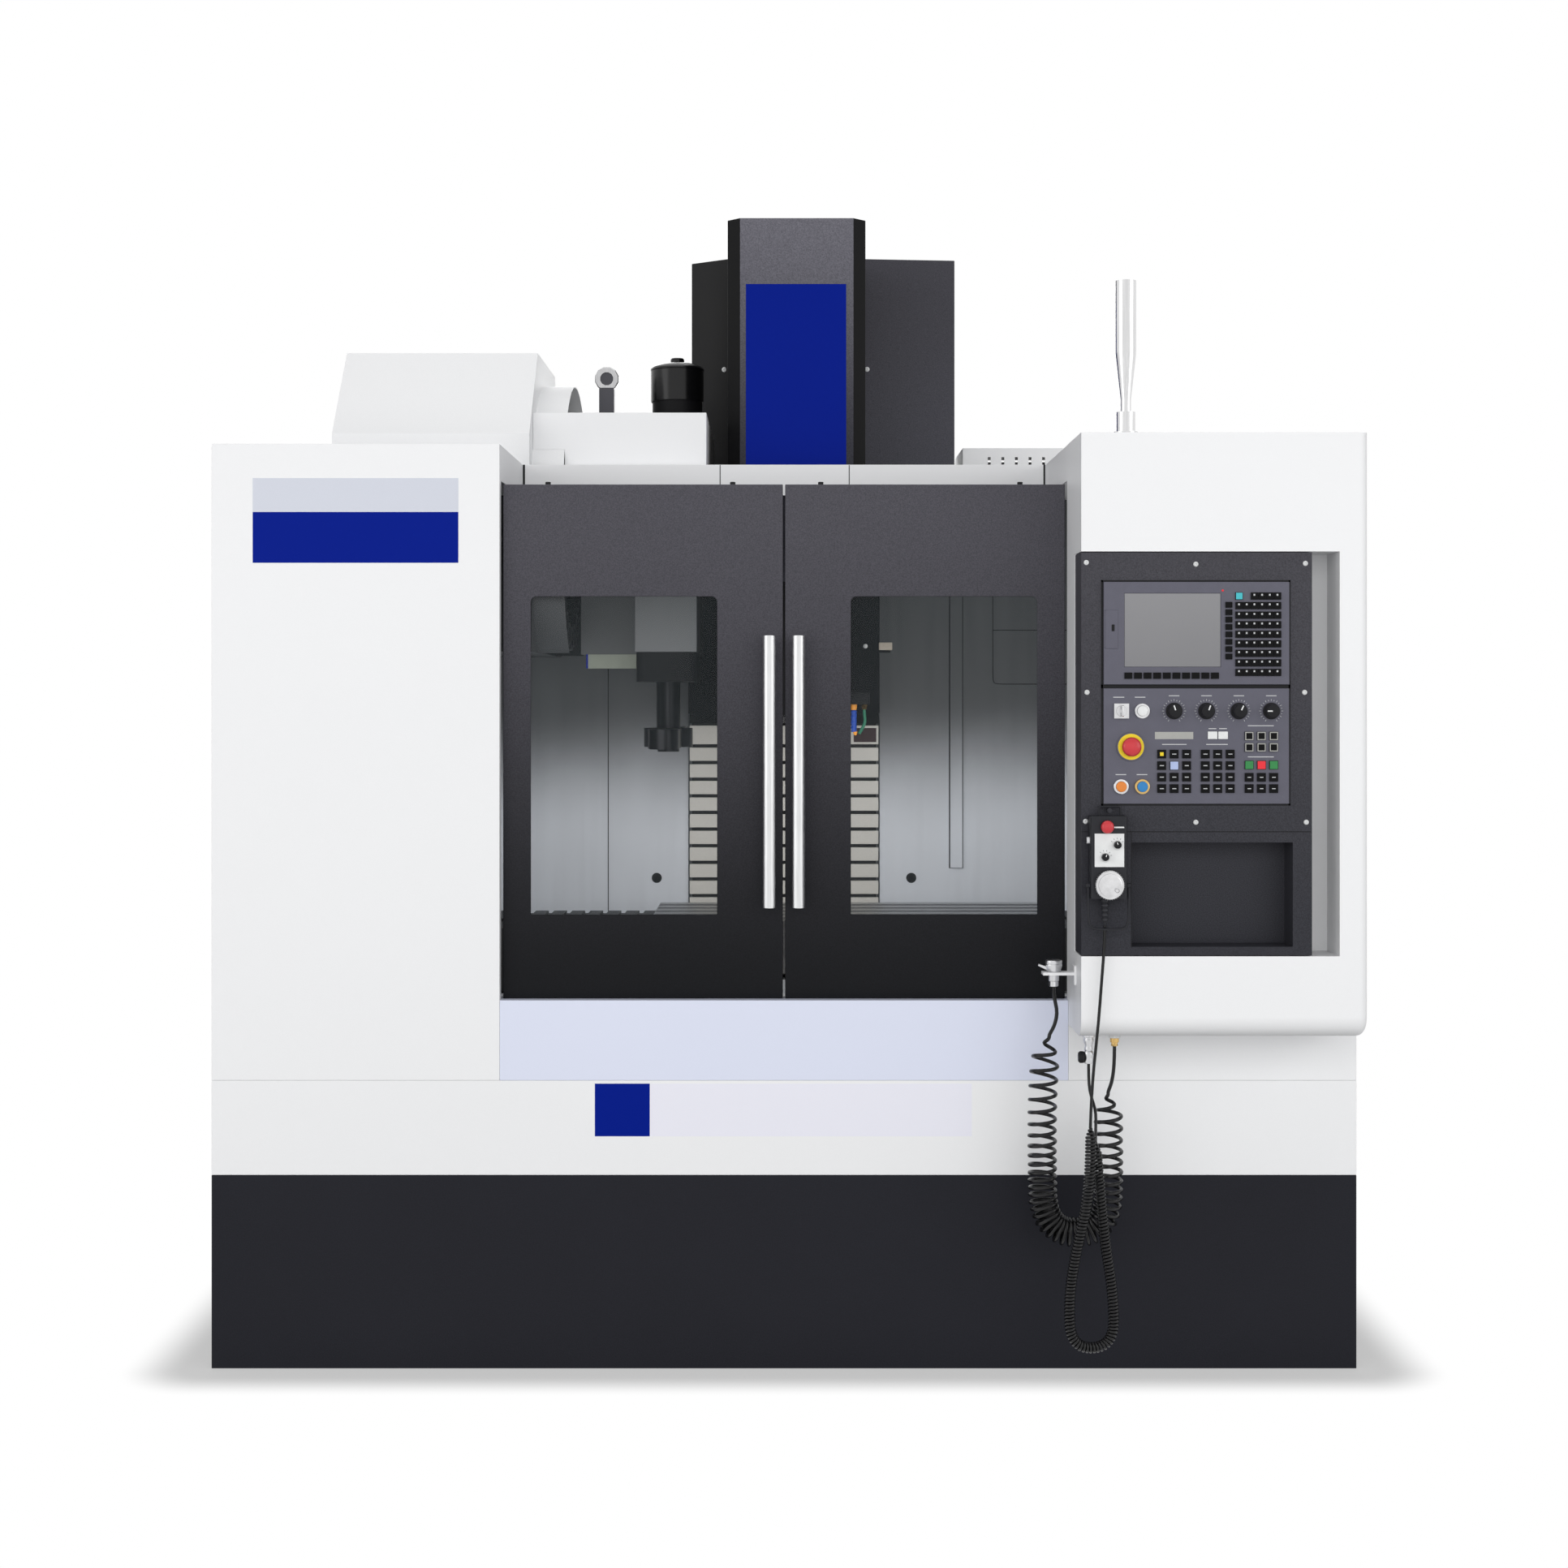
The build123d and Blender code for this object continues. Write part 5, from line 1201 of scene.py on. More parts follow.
@dataclass
class SlidingDoor:
    """One sliding door with its leaf, pane, handle and stop pins."""

    hand: str
    side: int
    pin_places: Pair
    front: float = -815.0
    edge: float = 1.5
    bar_radius: float = 14.0
    post_inset: float = 45.0
    post_radius: float = 10.0
    collar_radius: float = 13.0
    pin_depth: float = -797.0
    pin_span: Pair = (1932.5, 1940.0)
    pin_radius: float = 6.0

    @property
    def body(self) -> str:
        """Returns: the body that it rides on."""
        return f"{self.hand}_door"

    def pane(self) -> None:
        """Makes the pane."""
        low, high = corners(f"{self.hand}_window")
        pane = Shape().block(low, high, 0.5, 1)
        pane.finished(f"{self.hand}_pane", GLASS, self.body, Slot.GLASS, f"{self.hand}_window")

    def handle(self) -> None:
        """Makes the straight brushed bar on its two posts."""
        low, high = corners(f"{self.hand}_handle")
        x = (low.x + high.x) / 2
        y = low.y + self.bar_radius
        shape = Shape().rod((x, y, low.z), (x, y, high.z), self.bar_radius, bevel=1.0, sides=48)
        for z in (low.z + self.post_inset, high.z - self.post_inset):
            shape.rod((x, y + 8, z), (x, self.front - 0.2, z), self.post_radius)
            shape.rod((x, self.front - 3.2, z), (x, self.front - 0.1, z), self.collar_radius, bevel=0.8)
        shape.finished(f"{self.hand}_pull", HANDLE, self.body, Slot.SATIN, f"{self.hand}_handle")

    def build(self) -> None:
        """Makes the door."""
        reskin(self.body, f"{self.body}_skin", DOOR_SHEEN_COAT, Slot.CHARCOAL, self.edge, self.body)
        self.pane()
        self.handle()
        pins = Shape()
        bottom, top = self.pin_span
        for place in self.pin_places:
            x = self.side * place
            pins.rod((x, self.pin_depth, bottom), (x, self.pin_depth, top), self.pin_radius, bevel=1.0)
        pins.finished(f"{self.body}_pins", BLACK, self.body, Slot.BLACK)


@dataclass
class WorkArea:
    """The liner, the table, the saddle and the covers over the ways."""

    wall: float = 527.0
    slat_top: float = 1388.0
    first_slat: float = 52.0
    slat_height: float = 37.0
    slat_pitch: float = 46.2
    slat_count: int = 11
    hem_back: float = 529.0
    hem_span: Pair = (1395.0, 1421.5)
    panel_left: float = 581.0
    panel_right: float = 1086.0
    panel_bottom: float = 1503.0
    bolt_place: float = 354.0
    bolt_height: float = 964.0
    slot_count: int = 5
    slot_pitch: float = 90.0
    slot_half: float = 9.0
    slot_shade_width: float = 5.0
    seal_place: float = 272.0
    seal_half: float = 20.0
    seal_depths: Pair = (533.0, 536.0)
    wall_top: float = 1946.0

    def column_slats(self) -> None:
        """Makes the bright slats on the column's bellows, left still though the real ones fold as the head
        comes down, and the hem that rides on the head.
        """
        low, high = corners("z_way_cover")
        folds = Shape().block((low.x + 6, low.y + 12, low.z), (high.x - 6, high.y, high.z))
        sheet = Shape()
        top, height = self.slat_top, self.first_slat
        for _ in range(self.slat_count):
            sheet.block((low.x, low.y, max(top - height, low.z)), (high.x, low.y + 10, top), 1.2)
            top, height = top - height - (self.slat_pitch - self.slat_height), self.slat_height
        plate = Shape().film((193.5, 256), (1342, 1381), low.y, 1.2)
        pieces = [
            folds.finished("column_bellows", RUBBER, "frame", Slot.BELLOWS),
            sheet.finished("column_slats", SLATS, "frame", Slot.SLATS, "z_way_cover"),
            plate.finished("maroon_plate", MAROON, "frame", Slot.SLATS),
        ]
        for piece in pieces:
            piece.parent = None
            piece.matrix_world = Matrix.Identity(4)
            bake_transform(piece)
        bottom, top = self.hem_span
        hem = Shape().block((low.x, low.y + 1, bottom), (high.x, self.hem_back, top), 1.5)
        hem.finished("bellows_hem", TURNED, "head", Slot.SLATS)

    def wall_details(self) -> None:
        """Makes the seams, the strip, the panel's outline and the bolts on the back wall."""
        left, right, bottom = self.panel_left, self.panel_right, self.panel_bottom
        lines = Shape()
        lines.film((-490.2, -487.8), (872, 1575), self.wall)
        lines.film((459, 498), (991, 1945), self.wall)
        lines.film((left, right), (1652, 1654), self.wall)
        outline = [(left, 1945), (left, 1560), (left, bottom + 17), (left + 3, bottom + 3)]
        outline += [(left + 17, bottom), (left + 59, bottom), (right, bottom)]
        lines.tube([(x, self.wall - 0.5, z) for x, z in outline], 1.1)
        lines.finished("wall_seams", BLACK, "frame", Slot.BLACK)
        washer = [(0, 0), (14, 0), (14, 1.5), (10.5, 1.8)]
        dome = [(10.5, 1.8), (10.2, 5), (7.5, 7.8), (3, 9), (0, 9.2)]
        bolts = Shape()
        for x in (-self.bolt_place, self.bolt_place):
            for profile in (washer, dome):
                bolts.turned(profile, (x, self.wall, self.bolt_height), FORWARD)
        bolts.finished("wall_bolts", BLACK, "frame", Slot.BLACK)

    def slot_shade_strips(self) -> None:
        """Makes dark strips of blackened steel along the table's T-slots, painted shade of the slots seen at
        a grazing angle.
        """
        low, high = corners("worktable")
        edges = Shape()
        for n in range(self.slot_count):
            middle = (low.y + high.y) / 2 + (n - self.slot_count // 2) * self.slot_pitch
            for side in (-1, 1):
                inner = middle + side * self.slot_half
                outer = middle + side * (self.slot_half + self.slot_shade_width)
                near, far = min(inner, outer), max(inner, outer)
                edges.block((low.x + 2, near, high.z), (high.x - 2, far, high.z + 0.3))
        edges.finished("table_slot_painted_shade", BLACKENED, "table", Slot.STEEL)

    def side_seals(self) -> None:
        """Makes the seals beside the column."""
        near, far = self.seal_depths
        seals = Shape()
        for side in (-1, 1):
            left, right = side * self.seal_place - self.seal_half, side * self.seal_place + self.seal_half
            seals.block((left, near, 1421), (right, far, self.wall_top))
        seals.finished("column_side_seals", BLACK, "frame", Slot.BLACK)

    def build(self) -> None:
        """Makes the work area."""
        dress(LINER_SHADED, "splash_liner")
        dress(IRON, "worktable")
        self.slot_shade_strips()
        self.side_seals()
        dress(GREY_CAST, "saddle")
        dress(RUBBER, "x_way_covers")
        dress(SLATS, "y_way_cover")
        dress(TURNED, "x_ballscrew", "y_ballscrew", "z_ballscrew")
        dress(BLACK_CAST, "servo_motors")
        self.column_slats()
        self.wall_details()


@dataclass
class MillingHead:
    """The head's casting, the hood over it, the spindle, its motor and the nozzles."""

    hood_front: float = -225.0
    field_sides: Pair = (-93.5, 152.5)
    field_span: Pair = (2032.5, 2480.0)
    body_front: float = 150.0
    manifold_low: Triple = (150.0, -78.0, 1448.0)
    manifold_high: Triple = (216.0, -22.0, 1478.0)
    nozzle_depth: float = -50.0
    chain_place: float = 176.0
    chain_top: float = 1434.0
    link_pitch: float = 13.5
    link_count: int = 4
    tip_place: Pair = (180.0, 1379.0)
    lean: Triple = (0.08, 0.0, -1.0)
    elbow_place: float = 203.0
    sensor_low: Triple = (249.0, 160.0, 1590.0)
    sensor_high: Triple = (284.0, 180.0, 1610.0)

    def nozzles(self) -> None:
        """Makes the manifold, the segmented nozzle and the bent tube."""
        y, under = self.nozzle_depth, self.manifold_low[2]
        block = Shape().block(self.manifold_low, self.manifold_high, 3)
        block.finished("nozzle_manifold", BLACK, "head", Slot.BLACK, "coolant_nozzles")
        joint = [(0, 0), (5.5, 0), (7.5, 2), (8, 5), (6.2, 9), (7.4, 12), (6.8, 15), (0, 15)]
        chain = Shape()
        for n in range(self.link_count):
            chain.turned(joint, (self.chain_place, y, self.chain_top - n * self.link_pitch), self.lean, 24)
        chain.finished("segmented_nozzle", HOSE_BLUE, "head", Slot.BLUE)
        socket = [(0, -1), (9, -1), (9, 8), (7, 14), (0, 14)]
        ends = Shape().turned(socket, (self.chain_place, y, under), DOWN)
        tip_x, tip_z = self.tip_place
        ends.turned([(0, 0), (6, 0), (3, 9), (0, 9)], (tip_x, y, tip_z), self.lean, 24)
        ends.finished("nozzle_ends", HOSE_ORANGE, "head", Slot.ORANGE)
        x = self.elbow_place
        bend = [(x, y, under - 8), (x, y, under - 23), (x + 3, y, under - 43)]
        bend += [(x - 4, y + 1, under - 60), (x - 13, y + 2, under - 74)]
        Shape().tube(bend, 4).finished("green_tube", HOSE_GREEN, "head", Slot.BLACK)
        collar = [(0, -1), (8, -1), (8, 7), (6, 8), (6, 13), (0, 13)]
        brass = Shape().turned(collar, (x, y, under), DOWN, 6)
        brass.finished("brass_elbow", BRASS, "head", Slot.STEEL)

    def build(self) -> None:
        """Makes the head."""
        reskin("headstock", "head_casting", BLACK_CAST, Slot.HEAD, 2.0, "head")
        reskin("head_cover", "head_hood", HOOD_SHADED_COAT, Slot.CHARCOAL, 1.2, "head")
        dress(TURNED, "spindle")
        dress(BLACK_CAST, "spindle_motor")
        self.nozzles()
        field = Shape().film(self.field_sides, self.field_span, self.hood_front)
        field.finished("hood_blue_field", FIELD_BLUE, "head", Slot.CHARCOAL)
        sensor = Shape().block(self.sensor_low, self.sensor_high, 2)
        sensor.finished("beige_sensor", BEIGE, "head", Slot.HEAD)
        screw = Shape().screw((213, self.body_front, 1600), FORWARD, 6)
        screw.finished("head_screw", PEARL, "head", Slot.STEEL)


@dataclass
class ToolChanger:
    """The changer's gearbox, motor, arm and magazine with their covers."""

    edge: float = 1.2
    eye_place: Pair = (-452.0, 2278.0)
    post_half: float = 18.5
    cover_top: float = 2152.0
    motor_place: float = -272.0
    motor_radius: float = 67.5
    wall_top: float = 1945.0
    guard_sides: Pair = (-372.5, -217.5)
    guard_half: float = 133.0
    sheet_left: float = -528.5
    strip_left: float = -510.0
    strip_right: float = -371.0
    strip_bottom: float = 1541.0

    def lifting_eye(self) -> None:
        """Makes the bright eye on its charcoal post."""
        (x, z), half = self.eye_place, self.post_half
        post = Shape().block((x - half, -half, self.cover_top + 0.2), (x + half, half, z - 24), 2)
        post.turned([(0, -3), (17.5, -3), (17.5, 3), (0, 3)], (x, 0, z), BACKWARD, 12)
        post.finished("eye_post", POST, "frame", Slot.CHARCOAL)
        profile = [(17, -7), (29, -7), (31, -4), (31, 4), (29, 7), (17, 7), (17, -7)]
        eye = Shape().turned(profile, (x, 0, z), BACKWARD, 12)
        eye.finished("lifting_eye", TURNED, "frame", Slot.CHROME)

    def motor(self) -> None:
        """Makes the smooth shell, the dome and the knob of the changer's motor."""
        wide = self.motor_radius
        shell = [(0, 2218), (wide - 1, 2218), (wide, 2219.5), (wide, 2296), (wide - 1, 2297.5)]
        rim = [(wide - 1, 2298.5), (wide + 1, 2299), (wide + 1, 2302)]
        dome = [(64, 2307), (50, 2313), (32, 2317), (17.5, 2318)]
        knob = [(17.5, 2326), (15, 2330), (0, 2331)]
        cap = Shape().turned([*shell, *rim, *dome, *knob], (self.motor_place, 0, 0), UP, 72)
        cap.finished("changer_motor_shell", CORD_SKIN, "frame", Slot.MOTOR)

    def guards(self) -> None:
        """Makes the sheets round the gearbox over the work area."""
        (left, right), half = self.guard_sides, self.guard_half
        guards = Shape().block((left, -half, 1579), (right, half, self.wall_top), 2)
        guards.block((self.sheet_left, 118, 1577), (self.strip_right, 121, self.wall_top))
        guards.finished("gearbox_guards", GUARD, "frame", Slot.CASTING)
        strip = Shape().block((self.strip_left, 117, self.strip_bottom), (self.strip_right, 120.5, 1577.5))
        strip.finished("guard_strip", SLOT_PALE, "frame", Slot.CASTING)
        edge = Shape().block((self.strip_left - 5, 116.5, self.strip_bottom), (self.strip_left, 120.5, 1578))
        edge.finished("guard_strip_edge", FIELD_BLUE, "frame", Slot.BLUE)

    def build(self) -> None:
        """Makes the changer."""
        dress(BLACK_CAST, "tool_changer_gearbox")
        dress(BLACKENED, "tool_changer_shaft", "tool_changer_arm")
        dress(BLACK, "tool_magazine")
        reskin("magazine_cover", "magazine_cover_skin", COVER_SHADED_COAT, Slot.WHITE, self.edge)
        x = self.eye_place[0]
        eye_room = [((x - 40, -30, self.cover_top + 0.5), (x + 40, 30, 2320))]
        reskin("tool_changer_cover", "changer_cover_skin", WHITE, Slot.WHITE, self.edge, drop=eye_room)
        self.lifting_eye()
        self.motor()
        self.guards()


@dataclass
class ControlStation:
    """The control box and the console with its screen, keys, knobs and buttons."""

    console_front: float = -1061.0
    unit_face: float = -1069.0
    panel_face: float = -1066.0
    unit_key_face: float = -1073.0
    panel_key_face: float = -1070.0
    panel_sides: Pair = (662.4, 1054.0)
    unit_span: Pair = (1492.0, 1706.0)
    panel_span: Pair = (1243.0, 1484.0)
    gap: float = 4.0
    screen_low: Pair = (710.4, 1528.9)
    screen_high: Pair = (910.6, 1682.0)
    keypad_place: Pair = (948.7, 1517.1)
    keypad_pitch: Pair = (16.02, 19.9)
    framed_left: float = 970.2
    framed_pitch: float = 25.6
    framed_rows: Pair = (1360.8, 1384.5)
    coloured_row: float = 1324.0
    block_lefts: Pair = (787.8, 878.7)
    block_pitch: float = 26.0
    row_bottom: float = 1274.8
    row_pitch: float = 24.0
    dial_height: float = 1436.7
    dial_left: float = 813.9
    dial_pitch: float = 67.6
    button_height: float = 1278.9
    left_button: float = 702.7
    right_button: float = 746.8
    lock_place: float = 703.4
    stop_place: Pair = (723.6, 1362.0)
    knob_angles: tuple[float, ...] = (-20.0, 20.0, 25.0, -90.0)
    plug_place: Triple = (647.0, -980.0, 0.0)
    brass_place: Triple = (702.0, -980.0, 0.0)

    def housings(self) -> None:
        """Makes the box, the console and the unit in it."""
        fittings = [((625, -996, 687), (720, -964, 751.8))]
        reskin("control_box", "control_box_skin", WHITE, Slot.WHITE, 1.5, drop=fittings)
        reskin("console", "console_skin", CONSOLE_SHEEN_COAT, Slot.CHARCOAL, 1.2, "console")
        reskin("cnc_unit", "unit_skin", PANEL, Slot.BLACK, 0.8, "console")

    def gaps(self) -> None:
        """Makes the dark joints round the panels, the outline of the unit's flap and the console's screws."""
        (left, right), gap = self.panel_sides, self.gap
        gaps = Shape()
        for bottom, top in (self.unit_span, self.panel_span):
            for x in (left, right):
                gaps.film((x, x + gap), (bottom - gap, top + gap), self.console_front, 0.6)
            for z in (bottom - gap, top):
                gaps.film((left, right + gap), (z, z + gap), self.console_front, 0.6)
        gaps.film((621, 1101), (1183.4, 1185.4), self.console_front, 0.3)
        gaps.film((725, 726.2), (941, 1183), self.console_front, 0.3)
        gaps.film((694.4, 695.8), (1568, 1647.2), self.unit_face, 0.3)
        for z in (1568, 1645.8):
            gaps.film((669, 695.8), (z, z + 1.4), self.unit_face, 0.3)
        gaps.block((683, -1072.4, 1603), (689, -1070.8, 1617), 0.5, 1)
        gaps.finished("panel_gaps", BLACK, "console", Slot.BLACK)
        screws = Shape()
        places = [(631.5, 1746.8), (860.4, 1743.4), (1089.2, 1745), (633, 1475.6), (1087.5, 1475.6)]
        for x, z in [*places, (630, 1206), (860.4, 1204.3), (1091, 1204.3)]:
            screws.screw((x, self.console_front, z), FORWARD, 5.5)
        screws.finished("console_screws", PEARL, "console", Slot.SILVER)

    def screen(self) -> None:
        """Makes the display and the bezel's small lamp."""
        (left, bottom), (right, top), face = self.screen_low, self.screen_high, self.unit_face
        glass = Shape().block((left, face + 1.4, bottom), (right, face + 2.8, top), 0.4, 1)
        glass.finished("screen_glass", SCREEN, "console", Slot.BLACK)
        lamp = Shape().turned([(2.4, 0), (2.2, 0.7), (1.2, 1.2), (0, 1.4)], (915, face, 1688), FORWARD, 16)
        lamp.finished("alarm_lamp", LED, "console", Slot.RED)

    def caps(self) -> None:
        """Makes the coloured caps of single keys."""
        top, low, row = self.unit_key_face, self.panel_key_face, self.coloured_row
        columns = [self.framed_left + self.framed_pitch * column for column in range(3)]
        framed = [(x, z) for x in columns for z in self.framed_rows]
        for name, finish, slot, width, face, places in (
            ("cyan_key_cap", KEY_CYAN, Slot.KEYS, 13.5, top, [(948.7, 1676.3)]),
            ("pale_key_frames", KEY_PALE, Slot.KEYS, 17.0, low, framed),
            ("framed_key_faces", KEY_BLACK, Slot.KEYS, 13.0, low - 0.4, framed),
            ("sky_key_cap", KEY_SKY, Slot.KEYS, 16.5, low, [(813.8, 1322.8)]),
            ("green_key_caps", KEY_GREEN, Slot.KEYS, 16.5, low, [(columns[0], row), (columns[2], row)]),
            ("red_key_cap", LED, Slot.RED, 16.5, low, [(columns[1], row)]),
        ):
            caps = Shape()
            for place in places:
                caps.key_cap(place, width, face)
            caps.finished(name, finish, "console", slot)
        glyph = Shape().film((784, 791.5), (1343, 1350.5), low)
        glyph.finished("yellow_key_mark", YELLOW, "console", Slot.KEYS)

    def key_marks(self, marks: Shape) -> None:
        """Adds the small pale marks of the keys, with no lettering.

        Args:
            marks: the shape that takes them in.
        """
        for row in range(9):
            for column in range(6):
                if row < 8 or column > 1:
                    x = self.keypad_place[0] + self.keypad_pitch[0] * column
                    z = self.keypad_place[1] + self.keypad_pitch[1] * row
                    marks.film((x - 2.4, x + 1.2), (z + 0.6, z + 4.4), self.unit_key_face, 0.2)
        for column in range(3):
            for row in range(4):
                for block, left in enumerate(self.block_lefts):
                    if (block, row, column) in ((0, 3, 0), (0, 2, 1)):
                        continue
                    x, z = left + self.block_pitch * column, self.row_bottom + self.row_pitch * row
                    marks.film((x - 4.2, x + 4.2), (z - 0.9, z + 0.9), self.panel_key_face, 0.2)
            x = self.framed_left + self.framed_pitch * column
            for z in (self.row_bottom, 1298.4):
                marks.film((x - 3.7, x + 3.7), (z - 0.9, z + 0.9), self.panel_key_face, 0.2)

    def marks(self) -> None:
        """Makes the pale marks of the keys, the dials and the buttons, the rockers and the strip."""
        marks = Shape()
        self.key_marks(marks)
        for knob in range(4):
            x = self.dial_left + self.dial_pitch * knob
            for step in range(21):
                angle, outer = math.radians(-150 + 15 * step), 23.8 if step % 2 else 25
                marks.tick((x, self.dial_height), angle, 21, outer, 0.9, self.panel_face)
            marks.film((x - 11, x + 11), (1467.5, 1469.3), self.panel_face, 0.2)
        legends = [(687, 710, 1464.5), (732, 754, 1464.5), (692, 714, 1303), (736, 758, 1303)]
        legends += [(789, 840, 1366), (881, 926, 1366), (968, 1022, 1405), (968, 1022, 1340)]
        legends += [(886, 902, 1399), (908, 924, 1399)]
        for left, right, z in legends:
            marks.film((left, right), (z, z + 1.8), self.panel_face, 0.2)
        marks.finished("panel_marks", MARK, "console", Slot.KEYS)
        rockers = Shape()
        for x in (884, 906):
            rockers.block((x, self.panel_face - 3, 1378), (x + 20, self.panel_face, 1394), 0.8, 1)
        rockers.finished("white_rockers", PEARL, "console", Slot.SILVER)
        strip = Shape().film((774, 854), (1378, 1393), self.panel_face)
        strip.finished("pale_strip", KEY_PALE, "console", Slot.KEYS)

    def knobs(self) -> None:
        """Makes the four override knobs with their white pointers."""
        side = [(0, 0), (17.4, 0), (17.4, 3), (16.4, 4), (14.8, 4.3), (14.0, 22.6), (12.6, 24), (0, 24)]
        y, z = self.panel_face - 0.3, self.dial_height
        for knob, angle in enumerate(self.knob_angles):
            body = f"knob_{knob + 1}"
            x = self.dial_left + self.dial_pitch * knob
            shape = Shape().turned(side, (x, y, z), FORWARD).rod((x, y, z), (x, y + 14, z), 4)
            shape.finished(f"{body}_grip", BLACK, body, Slot.BLACK, f"override_{body}")
            pointer = Shape().tick((x, z), math.radians(angle), 2, 12.4, 2.6, y - 24)
            pointer.finished(f"{body}_pointer", PEARL, body, Slot.SILVER)

    def buttons(self) -> None:
        """Makes the push buttons, their bezels, the key switch and the emergency stop."""
        face = self.panel_face
        bezel = [(11.3, 0), (15.4, 0), (15.4, 7.4), (14.4, 8.3), (11.3, 8.3), (11.3, 0)]
        lens = [(0, -36), (11, -36), (11, -1), (10.2, -0.2), (6, 0.3), (0, 0.5)]
        for name, x, z, finish, rim, slot in (
            ("start_button", self.left_button, self.button_height, ORANGE, CHROME, Slot.ORANGE),
            ("reset_button", self.right_button, self.button_height, BLUE, BRASS, Slot.BLUE),
            ("power_button", self.right_button, self.dial_height, PEARL, CHROME, Slot.SILVER),
        ):
            ring = Shape().turned(bezel, (x, face, z), FORWARD)
            ring.finished(f"{name}_bezel", rim, "console", Slot.CHROME)
            cap = Shape().turned(lens, (x, face - 13, z), FORWARD)
            cap.finished(f"{name}_lens", finish, name, slot, name)
        plate = Shape().square_bezel((self.lock_place, face, self.dial_height), 15.5, 11.3, 8.4)
        plate.finished("key_switch_plate", CHROME, "console", Slot.CHROME)
        reskin("key_switch", "key_switch_barrel", CHROME, Slot.CHROME, 0.4, "key_switch")
        x, z = self.stop_place
        collar = [(9, 0), (27.4, 0), (27.4, 3.8), (26.4, 4.5), (9, 4.5), (9, 0)]
        ring = Shape().turned(collar, (x, face, z), FORWARD)
        ring.finished("stop_ring", YELLOW, "console", Slot.SILVER)
        mushroom = [(0, -36), (8, -36), (8, 0), (18.6, 0), (20, 1.4), (20, 5), (18.4, 9), (14, 12)]
        mushroom += [(7, 13.6), (0, 14)]
        head = Shape().turned(mushroom, (x, face - 11, z), FORWARD)
        head.finished("stop_mushroom", RED, "emergency_stop", Slot.RED, "emergency_stop")

    def fittings(self) -> None:
        """Makes the cable's connector and the hose's fitting under the box."""
        stack = [(0, 752), (14, 752), (14, 745), (12, 744), (10, 744), (10, 740), (11, 739), (11, 735)]
        stack += [(10, 734), (10, 731), (8, 728), (8, 722), (9, 721), (9, 716), (8, 715), (10, 711)]
        stack += [(10.6, 708), (10.6, 703), (9.6, 702), (9.6, 698), (10.4, 697), (10.4, 690), (9, 688)]
        plug = Shape().turned([*stack, (0, 688)], self.plug_place, UP, 32)
        plug.finished("cable_connector", ALUMINIUM, "frame", Slot.SILVER)
        side = [(0, 0), (11, 0), (12.5, 2), (12.5, 9), (9.5, 12.5), (0, 12.5)]
        cap = Shape().turned(side, (637.5, -980, 701), (-1, 0, 0))
        cap.finished("connector_cap", BLACK, "frame", Slot.BLACK)
        collar = [(0, 752), (12, 752), (12.5, 751), (12.5, 743), (11, 742), (0, 742)]
        ring = Shape().turned(collar, self.brass_place, UP)
        ring.finished("fitting_ring", PEARL, "frame", Slot.SILVER)
        nipple = [(0, 742.5), (9.5, 742.5), (9.5, 733), (7, 732), (7, 728), (8, 727), (7, 725), (0, 725)]
        brass = Shape().turned(nipple, self.brass_place, UP, 24)
        brass.finished("hose_fitting", BRASS, "frame", Slot.STEEL)

    def build(self) -> None:
        """Makes the station."""
        self.housings()
        self.gaps()
        self.screen()
        dress(KEY_BLACK, "panel_keys")
        self.caps()
        self.marks()
        self.knobs()
        self.buttons()
        self.fittings()
        dress(LAMP_BODY, "signal_lamp")


